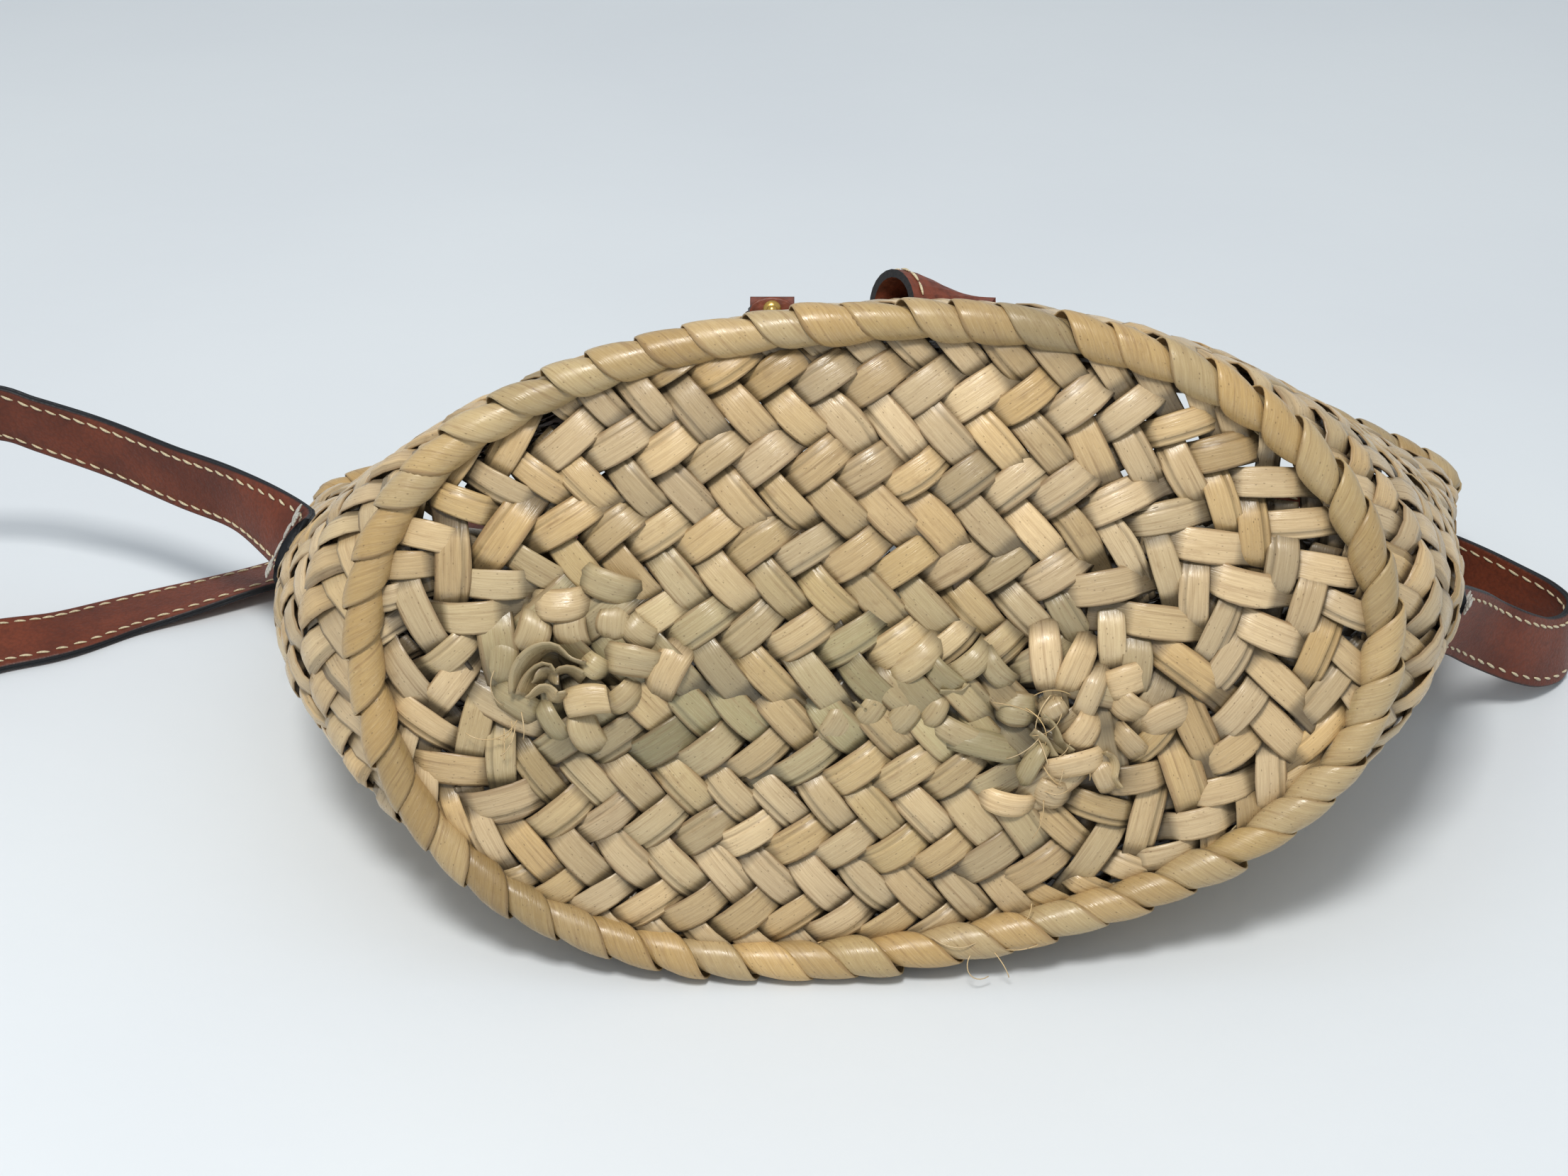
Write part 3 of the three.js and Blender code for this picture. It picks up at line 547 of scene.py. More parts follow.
seamLength = float(np.linalg.norm(knotAt[1] - knotAt[0]))
edgeOutline = ovalRing(rimRadius, rimRadius + 0.5, shareSteps)
edgeAngle = np.arctan2(edgeOutline[:, 1], edgeOutline[:, 0])
edgeRadius = np.hypot(edgeOutline[:, 0], edgeOutline[:, 1])
order = np.argsort(edgeAngle)
panelHalfWidth = ovalRing(rimRadius, bag["baseRim"] + bag["gap"], coarse)[:, 0].max()
panelHalfDepth = ovalRing(rimRadius, bag["baseRim"] + bag["gap"], coarse)[:, 1].max()


def edgeReach(x, y):
    return np.interp(np.arctan2(y, x), edgeAngle[order], edgeRadius[order], period=2 * math.pi)


def panelFace(x, y):
    out = np.minimum((x / panelHalfWidth) ** 2 + (y / panelHalfDepth) ** 2, 1)
    return rimRadius - bag["panelThickness"] / 2 - bag["panelDome"] * (1 - out)


def trackRow(row):
    """Centres, ways along the row, ways outwards, pitch and side of the floats of one row round the seam"""
    away = plait["rowStep"] * (row + 0.5)
    straight = baseLook["straight"]
    bandAway = plait["rowStep"] * (2 * (row // 2) + 1)
    bend = max(int(round(math.pi * bandAway / plait["pitch"])), 3)
    index = np.arange(2 * straight + 2 * bend) + 0.5 * (row % 2) + 0.25
    middle = (knotAt[0] + knotAt[1]) / 2
    spots = []
    for i in index:
        i = i % (2 * straight + 2 * bend)
        side = 1 if i < straight + bend else -1
        local = i if side > 0 else i - straight - bend
        way, out = seamWay * side, seamUp * side
        if local < straight:
            centre = middle + way * (local / straight - 0.5) * seamLength + out * away
            pitch, kind = seamLength / straight, side
        else:
            turn = (local - straight) / bend * math.pi
            knot = knotAt[1] if side > 0 else knotAt[0]
            way, out = way * math.cos(turn) - out * math.sin(turn), out * math.cos(turn) + way * math.sin(turn)
            centre = knot + out * away
            pitch, kind = math.pi * away / bend, 0
        spots.append((*centre, *way, *out, pitch, row, kind))
    return spots


def baseFloats():
    random = np.random.default_rng(baseLook["seed"])
    spots = np.array([spot for row in range(baseLook["rows"]) for spot in trackRow(row)])
    inside = np.hypot(spots[:, 0], spots[:, 1]) < edgeReach(spots[:, 0], spots[:, 1]) + 3
    spots = spots[inside]
    centre, way, out = spots[:, 0:2], spots[:, 2:4], spots[:, 4:6]
    pitch, row, side = spots[:, 6], spots[:, 7], spots[:, 8]
    count = len(spots)
    slant = np.where(row % 2 == 0, -1, 1)
    length = np.hypot(pitch, plait["rowStep"])
    direction = (slant[:, None] * way * pitch[:, None] + out * plait["rowStep"]) / length[:, None]
    loose = np.where(side == 0, 1.0, 0.3)
    swing = random.normal(0, 6.5, count) * loose * radians
    direction = np.stack([direction[:, 0] * np.cos(swing) - direction[:, 1] * np.sin(swing),
                          direction[:, 0] * np.sin(swing) + direction[:, 1] * np.cos(swing)], 1)
    sideways = np.stack([direction[:, 1], -direction[:, 0]], 1)
    a, y, height, shade = floatShape(random, count, 15, 9, 1.0, baseLook["width"], 0.05, 0.18, length / floatRun)
    narrow = (pitch * plait["rowStep"] / length / stripWidth).clip(0.7, 1.15)
    toRim = edgeReach(centre[:, 0], centre[:, 1]) - np.hypot(centre[:, 0], centre[:, 1])
    byRim = 1 - np.clip((toRim - 3) / 14, 0, 1)
    narrow = narrow * (1 - baseLook["rimNarrow"] * byRim) * (1 - baseLook["looseNarrow"] * (side == 0))
    y = y * narrow[:, None, None]
    jitter = random.normal(0, 0.45, (count, 2)) * (0.3 + 1.2 * loose)[:, None]
    flat = ((centre + jitter)[:, None, None] + a[..., None] * direction[:, None, None]
            + y[..., None] * sideways[:, None, None])
    distance = np.hypot(flat[..., 0], flat[..., 1])
    limit = edgeReach(flat[..., 0], flat[..., 1])
    over = np.maximum(distance - limit, 0)
    shrink = squeeze(distance, limit, 1.2) / np.maximum(distance, 1e-6)
    flat = flat * shrink[..., None]
    tuck = np.clip((limit - distance) / 7, 0, 1)
    ledge = np.where((side == 1) & (row == 0), 1.1, 0) + np.where((side == 1) & (row == 1), 0.4, 0)
    ledge = ledge - np.where((side == -1) & (row == 0), 0.4, 0)
    wave = 1.2 * slowNoise(centre, 3, 90)
    level = height * (0.35 + 0.65 * tuck) + (ledge + wave + random.normal(0, 0.15, count))[:, None, None]
    along = panelFace(flat[..., 0], flat[..., 1]) + bag["panelThickness"] / 2 - level + over * 0.9 + (1 - tuck) * 2.2
    points = toRaw(flat[..., 0], flat[..., 1], along)
    uv = np.stack([a + random.uniform(0, 900, count)[:, None, None], y], -1)
    middle = (knotAt[0] + knotAt[1]) / 2
    nearSeam = np.abs((centre - middle) @ seamUp)
    ends = np.maximum(np.abs((centre - middle) @ seamWay) - seamLength / 2, 0)
    green = 0.85 * np.exp(-((nearSeam / 34) ** 2 + (ends / 26) ** 2)) * random.uniform(0.25, 1.1, count)
    tone = randomTone(random, count, 0.56, 0.15, 0, 0.34)
    tone[:, 1] = np.clip(green + random.normal(0, 0.06, count), 0, 1)
    tone[:, 2] = np.clip(tone[:, 2] + 0.2 * slowNoise(centre, 8, 120), 0, 1)
    tone = np.broadcast_to(tone[:, None, None, :], points.shape[:3] + (4,)).copy()
    # painted shade under the rim, wider towards the top, and painted shadow in dark pits round the knots
    fade = baseLook["rimFade"] + baseLook["topFade"] * np.clip(flat[..., 1] / np.maximum(distance, 1e-6), 0, 1)
    underRimShade = 1 - baseLook["rimShade"] * (1 - np.clip((limit - distance) / fade, 0, 1)) ** 1.5
    pitShade = np.ones(flat.shape[:3])
    for knot, across, rise, wide, deep in baseLook["shadowPits"]:
        toPit = np.hypot(flat[..., 0] - knotAt[knot][0] - across, flat[..., 1] - knotAt[knot][1] - rise)
        pitShade = pitShade * (1 - deep * np.exp(-(toPit / wide) ** 2))
    tone[..., 0] = (tone[..., 0] + shadeLift) * shade * underRimShade * pitShade - shadeLift
    normals = numericNormals(points)
    facing = np.sign((normals @ -bagAxis).mean((1, 2)))[:, None, None, None]
    return orientedLeaves("base_leaves", points, normals * facing, facing, uv, tone, plait["thickness"])


finishPiece(baseFloats(), "base_panel", leafStuff)

# The two wrapped rims
baseWrap = {"along": rimRadius, "radius": rimRadius, "pitch": 13.0, "seed": 31, "advance": 10.5}
mouthWrap = {"along": bag["height"] - mouthRimRadius, "radius": mouthRimRadius, "pitch": 12.5, "seed": 37, "advance": 10.5}


def rimTrack(along, radius):
    path = ovalRing(along, radius, shareSteps)
    out = (ovalRing(along, 0, shareSteps) - path) / radius
    steps = np.linalg.norm(np.roll(path, -1, 0) - path, axis=1)
    run = np.concatenate([[0], np.cumsum(steps)])
    closed = np.concatenate([path, path[:1]])
    closedOut = np.concatenate([out, out[:1]])
    def at(sigma):
        sigma = sigma % run[-1]
        point = np.stack([np.interp(sigma, run, closed[:, k]) for k in (0, 1)], -1)
        outward = unit(np.stack([np.interp(sigma, run, closedOut[:, k]) for k in (0, 1)], -1))
        return point, outward
    return at, run[-1]


def wrapLeaves(name, look, warmSpot=None):
    random = np.random.default_rng(look["seed"])
    track, total = rimTrack(look["along"], look["radius"])
    count = int(round(total / look["pitch"]))
    rows, columns = 24, 8
    first, last = -150, 300  # degrees round the roll, 90 faces out of the base
    theta = np.linspace(first, last, rows) * radians
    across = np.array([-1, -0.8, -0.45, -0.1, 0.3, 0.6, 0.85, 1])
    sigma0 = (np.arange(count) + random.normal(0, 0.06, count)) * total / count
    half = look["pitch"] * 0.58 * (1 + random.normal(0, 0.07, count))
    taper = 0.72 + 0.28 * np.cos((theta - math.pi / 2) * 0.9)
    advance = look["advance"] * (1 + random.normal(0, 0.08, count))
    way = -(theta - math.pi / 2) / math.pi
    y = half[:, None, None] * taper[None, :, None] * across[None, None, :]
    sigma = sigma0[:, None, None] + advance[:, None, None] * way[None, :, None] + y
    turn = theta[None, :, None] + 0.10 * y / look["radius"] + np.zeros_like(y)
    dome = 0.85 * (1 - across ** 2) ** 0.7 + 0.8 * across
    roll = look["radius"] - 0.5 + dome[None, None] * (1 + random.normal(0, 0.18, count))[:, None, None]
    roll = roll + random.normal(0, 0.12, count)[:, None, None] + 0 * y
    path, outward = track(sigma)
    flat = path + outward * (roll * np.cos(turn))[..., None]
    points = toRaw(flat[..., 0], flat[..., 1], look["along"] - roll * np.sin(turn))
    axis = toRaw(path[..., 0], path[..., 1], look["along"] + 0 * roll)
    normals = numericNormals(points)
    facing = np.sign((normals * (points - axis)).sum(-1).mean((1, 2)))[:, None, None, None]
    lengthways = theta[None, :, None] * look["radius"] * 1.3 + random.uniform(0, 900, count)[:, None, None]
    uv = np.stack([lengthways + 0 * y, y * 0.75], -1)
    tone = randomTone(random, count, 0.55, 0.12, 0.0, 0.45)
    if warmSpot is not None:
        spots, _ = track(sigma0)
        near = np.exp(-np.linalg.norm(spots - warmSpot, axis=1) ** 2 / 60 ** 2)
        tone[:, 2] = np.clip(tone[:, 2] + 0.6 * near, 0, 1)
        tone[:, 0] = np.clip(tone[:, 0] - 0.12 * near, 0, 1)
    return orientedLeaves(name, points, normals * facing, facing, uv, tone, 0.45)


def rimCore(name, look):
    track, total = rimTrack(look["along"], look["radius"])
    sigma = np.linspace(0, total, 360, endpoint=False)
    path, outward = track(sigma)
    theta = np.linspace(0, 2 * math.pi, 12, endpoint=False)
    away = look["radius"] - 1.5
    flat = path[:, None] + outward[:, None] * (away * np.cos(theta))[None, :, None]
    points = toRaw(flat[..., 0], flat[..., 1], look["along"] - away * np.sin(theta)[None] + 0 * flat[..., 0])
    i, j = np.meshgrid(np.arange(360), np.arange(12), indexing="ij")
    corner = lambda p, q: (p % 360) * 12 + q % 12
    faces = np.stack([corner(i, j), corner(i, j + 1), corner(i + 1, j + 1), corner(i + 1, j)], -1).reshape(-1, 4)
    uv = np.stack([sigma[:, None] + 0 * theta, theta[None] * away + 0 * sigma[:, None]], -1)
    tone = np.tile([0.0, 0.2, 0.4, 0.5], (points.shape[0] * points.shape[1], 1))
    return makeMesh(name, points, faces, uv, tone)


for node, look, warm in (("base_rim", baseWrap, np.array([-80.0, -60.0])), ("mouth_rim", mouthWrap, None)):
    finishPiece(wrapLeaves(node + "_wraps", look, warm), node, wrapStuff)
    finishPiece(rimCore(node + "_core", look), None, wrapStuff)

# ---- knots of leaf ends

def softLine(corners, count):
    """Corners cut twice over, read at even steps"""
    line = np.array(corners, float)
    for _ in range(2):
        before, after = line[:-1], line[1:]
        cut = np.stack([0.75 * before + 0.25 * after, 0.25 * before + 0.75 * after], 1).reshape(-1, line.shape[1])
        line = np.concatenate([line[:1], cut, line[-1:]])
    run = np.concatenate([[0], np.cumsum(np.linalg.norm(np.diff(line, axis=0), axis=1))])
    wanted = np.linspace(0, run[-1], count)
    return np.stack([np.interp(wanted, run, line[:, k]) for k in range(line.shape[1])], 1)


def ribbon(centres, sideways, half, rows, columns, seed, dome=0.5, pleat=0.0):
    """One leaf along a line of centres, with a side direction at each"""
    line = np.linspace(0, 1, len(centres))
    at = np.linspace(0, 1, rows)
    pick = lambda values: np.stack([np.interp(at, line, values[:, k]) for k in range(values.shape[1])], -1)
    middle, side = pick(centres), unit(pick(sideways))
    width = np.interp(at, line, half)
    across = np.linspace(-1, 1, columns)
    forward = unit(np.gradient(middle, axis=0))
    normal = unit(np.cross(forward, side))
    fold = dome * across ** 2 + pleat * (across > 0.3)
    points = middle[:, None] + side[:, None] * (width[:, None] * across)[..., None] - normal[:, None] * fold[None, :, None]
    length = np.concatenate([[0], np.cumsum(np.linalg.norm(np.diff(middle, axis=0), axis=1))])
    uv = np.stack([length[:, None] + seed * 37 + 0 * across, width[:, None] * across], -1)
    return points, uv


leftKnot = {
    "seed": 41, "node": "base_knot_left", "loops": [  # across, rise, turn, length, half, height, light, green
        [0.9, 18.2, 0, 17, 4.3, 3.6, 0.66, 0.2], [13.0, 23.0, -18, 17, 4.3, 3.2, 0.58, 0.7],
        [-6.5, 10.3, 65, 14, 4.7, 3.6, 0.50, 0.5], [3.3, 11.4, -80, 12, 4.3, 3.4, 0.48, 0.3],
        [19.0, 4.0, -14, 18, 4.6, 4.6, 0.60, 0.5], [9.3, 2.8, -35, 10, 3.2, 5.4, 0.66, 0.6],
        [-14.5, 3.3, 82, 15, 4.2, 3.0, 0.40, 0.8], [-11.2, -7.6, -28, 16, 4.1, 3.4, 0.42, 0.7],
        [6.7, -15.0, -72, 15, 4.2, 3.4, 0.55, 0.5], [-2.2, -13.0, -62, 15, 3.0, 3.6, 0.34, 0.8],
        [27.6, 1.4, 62, 17, 4.6, 3.2, 0.60, 0.1], [14.2, 13.0, 84, 12, 4.5, 3.0, 0.52, 0.4],
        [20.5, 10.8, -35, 13, 3.7, 3.2, 0.52, 0.6], [16.5, -6.5, 40, 13, 3.6, 3.4, 0.50, 0.5],
    ],
    "folds": [  # height, light, then across and rise of each corner
        [6.0, 0.40, (-10.0, -4.5), (-9.6, 1.0), (-6.0, 5.8), (-1.0, 7.4), (2.0, 4.2), (7.0, 2.6)],
        [5.2, 0.30, (-8.4, -5.4), (-7.0, -1.2), (-2.8, 3.8), (-1.2, -0.4), (2.0, 1.6), (6.4, -1.2)],
        [5.0, 0.44, (-7.4, -6.4), (-3.6, -3.4), (-1.0, -6.8), (2.6, -5.2)],
        [4.6, 0.20, (-5.6, -2.6), (-2.6, 1.2), (-1.4, -2.4)],
    ],
    "ends": [[6.8, -5.8, 8, 12, 4.1, 5.6, 0.74, 0.4]],
}
rightKnot = {
    "seed": 47, "node": "base_knot_right", "loops": [
        [-0.9, 17.4, -84, 20, 4.3, 4.4, 0.86, 0.0], [6.8, 15.2, 68, 18, 4.1, 4.0, 0.80, 0.0],
        [10.6, 7.8, 68, 19, 3.1, 4.6, 0.55, 0.1], [9.2, -2.0, 58, 15, 4.3, 4.8, 0.72, 0.0],
        [20.0, 11.8, 18, 15, 4.3, 3.8, 0.72, 0.0], [20.7, 4.2, -36, 13, 4.1, 3.6, 0.52, 0.1],
        [30.0, 1.7, 30, 17, 4.3, 3.4, 0.58, 0.0], [1.4, 3.8, -60, 9, 3.6, 4.4, 0.42, 0.3],
        [-7.6, 4.2, -10, 12, 4.6, 3.4, 0.42, 0.8], [7.0, -10.4, 12, 21, 3.6, 4.8, 0.80, 0.0],
        [-4.2, -9.8, 65, 18, 2.7, 4.4, 0.46, 0.8], [-10.0, -21.3, -9, 17, 3.3, 3.6, 0.92, 0.0],
        [-16.0, -5.0, -13, 25, 3.7, 3.2, 0.34, 0.9], [15.2, -14.0, -65, 12, 3.2, 3.6, 0.46, 0.1],
        [21.0, -5.0, -50, 13, 3.3, 3.8, 0.44, 0.1], [1.0, -19.0, -15, 12, 3.9, 3.2, 0.52, 0.1],
    ],
    "folds": [
        [4.4, 0.30, (-2.2, 1.6), (1.6, -0.8), (2.2, -5.6), (5.6, -8.0)],
        [4.0, 0.36, (-4.4, -2.6), (-0.6, -4.4), (1.0, -8.6)],
        [4.2, 0.50, (14.2, -7.4), (17.0, -9.8), (15.6, -14.4), (18.8, -17.4)],
    ],
    "ends": [],
}
seamBits = {
    "seed": 53, "node": None, "loops": [
        [-34.0, 16.8, 40, 19, 3.8, 3.6, 0.66, 0.4], [-20.0, 16.0, 36, 15, 3.4, 3.4, 0.50, 0.6],
        [-13.5, 14.0, -50, 14, 3.2, 3.4, 0.36, 0.7], [-27.0, 12.0, -42, 15, 3.7, 3.0, 0.32, 0.8],
        [-39.0, 8.4, -45, 17, 4.2, 2.8, 0.42, 0.8], [-54.0, -0.5, 58, 13, 3.8, 2.6, 0.48, 0.5],
        [-45.0, 3.6, 50, 12, 3.4, 2.8, 0.50, 0.5], [-36.5, 2.2, 44, 14, 3.6, 2.8, 0.44, 0.6],
        [-22.4, -2.8, -25, 18, 3.3, 2.8, 0.46, 0.7], [-29.0, 3.6, 62, 12, 3.0, 3.0, 0.40, 0.6],
    ],
    "folds": [[3.0, 0.34, (-50.0, 6.0), (-47.0, 2.4), (-43.6, 5.0)], [3.0, 0.34, (-28.0, 8.6), (-23.0, 7.4), (-19.6, 10.4)]],
    "ends": [],
}


def bundlePiece(name, centre, look):
    random = np.random.default_rng(look["seed"])
    rows, columns, steps = 19, 7, 25
    made, uvs, tones = [], [], []

    def above(path, lift):
        spot = path + centre
        return toRaw(spot[:, 0], spot[:, 1], panelFace(spot[:, 0], spot[:, 1]) + 0.6 - lift)

    def add(path, lift, side, rising, half, light, green, dome, pleat):
        middle = above(path, lift)
        way = toRaw(side[:, 0], side[:, 1], -rising)
        points, uv = ribbon(middle, way, half, rows, columns, len(made), dome, pleat)
        made.append(points)
        uvs.append(uv)
        tone = np.tile([light, green * random.uniform(0.6, 1), random.uniform(0.1, 0.45), random.uniform()], (rows, columns, 1))
        return tone

    run = np.linspace(-1, 1, steps)
    rowRun = np.abs(np.linspace(-1, 1, rows))[:, None]
    for kind in ("loops", "ends"):
        for across, rise, turn, length, halfWidth, height, light, green in look[kind]:
            angle = (turn + random.uniform(-4, 4)) * radians
            heading, flank = np.array([math.cos(angle), math.sin(angle)]), np.array([-math.sin(angle), math.cos(angle)])
            bow = random.uniform(-1.4, 1.4)
            path = np.array([across, rise]) + np.outer(run, heading) * length / 2 + np.outer(bow * run ** 2, flank)
            if kind == "loops":
                lift = height * (1 - 1.3 * np.abs(run) ** 2.6)
                half = halfWidth * (0.84 + 0.16 * (1 - run ** 2))
            else:
                lift = height * (1 - 0.5 * np.clip(-run, 0, 1) ** 2)
                half = halfWidth * (1 - 0.1 * run ** 2)
            tilt = random.uniform(-0.28, 0.28) + random.uniform(-0.2, 0.2) * run
            side = np.tile(flank, (steps, 1))
            pleat = random.choice([0, 0.5, -0.5])
            tone = add(path, lift, side, tilt, half, light, green, 0.9, pleat)
            if kind == "loops":
                # painted shade towards both ends of each loop, where it dives under
                diveShade = np.clip((rowRun - 0.6) / 0.35, 0, 1)
                tone[..., 0] = (tone[..., 0] + shadeLift) * (1 - 0.6 * diveShade) - shadeLift
            tones.append(tone)
    for height, light, *corners in look["folds"]:
        path = softLine(corners, steps)
        forward = unit(np.gradient(path, axis=0))
        flank = np.stack([-forward[:, 1], forward[:, 0]], 1)
        opening = 0.75 + 0.35 * np.sin(run * 3 + random.uniform(0, 6))
        lift = height / 2 + 0.4 + 0.5 * np.sin(run * 5 + random.uniform(0, 6))
        tone = add(path, lift, flank * opening[:, None], np.ones(steps), np.full(steps, height * 0.62), light, 0.6, 0.3, 0)
        tones.append(tone)
    points, uv = np.array(made), np.array(uvs)
    normals = numericNormals(points)
    facing = np.sign((normals @ -bagAxis).mean((1, 2)))[:, None, None, None]
    facing[facing == 0] = 1
    piece = orientedLeaves(name, points, normals * facing, facing, uv, np.array(tones), 0.35)
    finishPiece(piece, look["node"], leafStuff)


bundlePiece("knot_left_leaves", knotAt[0], leftKnot)
bundlePiece("knot_right_leaves", knotAt[1], rightKnot)
bundlePiece("seam_leaf_bits", knotAt[1], seamBits)

fibres = {"seed": 59, "count": 26, "half": 0.14}


def fibrePiece():
    random = np.random.default_rng(fibres["seed"])
    homes = [(knotAt[1], 9), (knotAt[1] + [4, -12], 6), (knotAt[0] + [-14, -14], 8), (np.array([32.0, -78.0]), 6)]
    points, uvs, tones = [], [], []
    for k in range(fibres["count"]):
        home, spread = homes[k % len(homes)]
        start = home + random.normal(0, spread / 2, 2)
        turn = random.uniform(0, 2 * math.pi)
        at = np.linspace(0, 1, 13)
        length = random.uniform(7, 18)
        bend = random.normal(0, 1.4)
        angle = turn + bend * at
        path = start + np.cumsum(np.column_stack([np.cos(angle), np.sin(angle)]), 0) * length / 13
        lift = 2.2 + random.uniform(0.5, 3.0) * np.sin(math.pi * at)
        line = toRaw(path[:, 0], path[:, 1], panelFace(path[:, 0], path[:, 1]) - lift)
        side = toRaw(-np.sin(angle), np.cos(angle), 0 * at)
        ribbonPoints, uv = ribbon(line, side, np.full(13, fibres["half"]), 13, 3, k, 0.05)
        points.append(ribbonPoints)
        uvs.append(uv)
        tones.append([random.uniform(0.5, 0.9), 0.1, random.uniform(0.2, 0.8), random.uniform()])
    points, uvs = np.array(points), np.array(uvs)
    normals = numericNormals(points)
    facing = np.sign((normals @ -bagAxis).mean((1, 2)))[:, None, None, None]
    finishPiece(orientedLeaves("loose_fibres", points, normals * facing, facing, uvs, np.array(tones), 0.2),
                None, leafStuff)


fibrePiece()

# ---- the strap

strapLook = {"width": 22, "thickness": 2.8, "seatLength": 10, "startLeft": 98, "startRight": 67, "riseLeft": 8,
             "riseRight": -9, "cupFade": 12, "step": 2.0, "stitchPitch": 5.0, "stitchInset": 2.8,
             "stitchLength": 3.8}
strapRoute = np.array([  # across, back, rise, lean
    [-1.061, 0.708, 0.475, 0],
    [-1.178, 0.791, 0.464, 0],
    [-1.317, 0.862, 0.497, 4],
    [-1.446, 0.896, 0.552, 9],
    [-1.509, 0.906, 0.586, 10],
    [-1.690, 0.909, 0.586, 13],
    [-1.873, 0.856, 0.508, 18],
    [-1.983, 0.738, 0.376, 26],
    [-1.950, 0.610, 0.221, 38],
    [-1.817, 0.556, 0.088, 54],
    [-1.662, 0.578, 0.011, 68],
    [-1.512, 0.668, 0.000, 76],
    [-1.411, 0.710, 0.000, 82],
    [-1.306, 0.784, 0.000, 90],
    [-1.186, 0.836, 0.000, 97],
    [-1.104, 0.872, 0.000, 103],
    [-0.914, 0.973, 0.000, 102],
    [-0.609, 1.070, 0.000, 90],
    [-0.166, 1.112, 0.000, 75],
    [0.277, 1.112, 0.000, 60],
    [0.665, 1.075, 0.000, 45],
    [0.942, 0.984, 0.000, 28],
    [1.105, 0.856, 0.000, 15],
    [1.188, 0.770, 0.000, 8],
    [1.238, 0.711, 0.000, 2],
    [1.255, 0.663, 0.000, -4],
    [1.235, 0.615, 0.000, -11],
    [1.186, 0.567, 0.039, -13],
    [1.136, 0.535, 0.099, -10],
    [1.061, 0.503, 0.199, -2],
    [1.003, 0.455, 0.309, 12],
])


def shareAtRise(along, rise, side):
    ring = ovalRing(along, 0, fineSteps)
    miss = np.where(ring[:, 0] * side > 0, np.abs(ring[:, 1] - rise), 1e9)
    return np.argmin(miss) / fineSteps


def seatSection(along, rise, side):
    girth = float(np.interp(along, alongGrid, girthAt))
    middle = shareAtRise(along, rise, side)
    offsets = strapLook["width"] * (np.arange(5) / 4 - 0.5)
    share = middle + offsets * side / girth
    point, normal = wallAt(share, np.full(5, float(along)))
    foot = point - normal * insetAt(along)
    inner = foot + normal * bag["gap"]
    outer = foot + normal * (bag["gap"] + strapLook["thickness"])
    centre = (inner[2] + outer[2]) / 2
    width = unit(inner[4] - inner[0])
    thick = unit(outer[2] - inner[2])
    chord = (inner[0] + inner[4]) / 2
    cup = float((inner[2] - chord) @ thick) / (strapLook["width"] / 2) ** 2
    return {"centre": centre, "width": width, "thick": thick, "cup": cup}


def catmull(nodes, t):
    """A centripetal curve through the nodes, read at t from 0 to 1"""
    spans = len(nodes) - 1
    place2 = t * spans
    row = min(int(place2), spans - 1)
    w = place2 - row
    p1, p2 = nodes[row], nodes[row + 1]
    p0 = nodes[row - 1] if row > 0 else 2 * nodes[0] - nodes[1]
    p3 = nodes[row + 2] if row + 2 <= spans else 2 * nodes[-1] - nodes[-2]
    d0, d1, d2 = (max(float(np.linalg.norm(b - a)) ** 0.5, 1e-4) for a, b in ((p0, p1), (p1, p2), (p2, p3)))
    m1 = ((p1 - p0) / d0 - (p2 - p0) / (d0 + d1) + (p2 - p1) / d1) * d1
    m2 = ((p2 - p1) / d1 - (p3 - p1) / (d1 + d2) + (p3 - p2) / d2) * d1
    c2 = -3 * p1 + 3 * p2 - 2 * m1 - m2
    c3 = 2 * p1 - 2 * p2 + m1 + m2
    return p1 + m1 * w + c2 * w * w + c3 * w ** 3


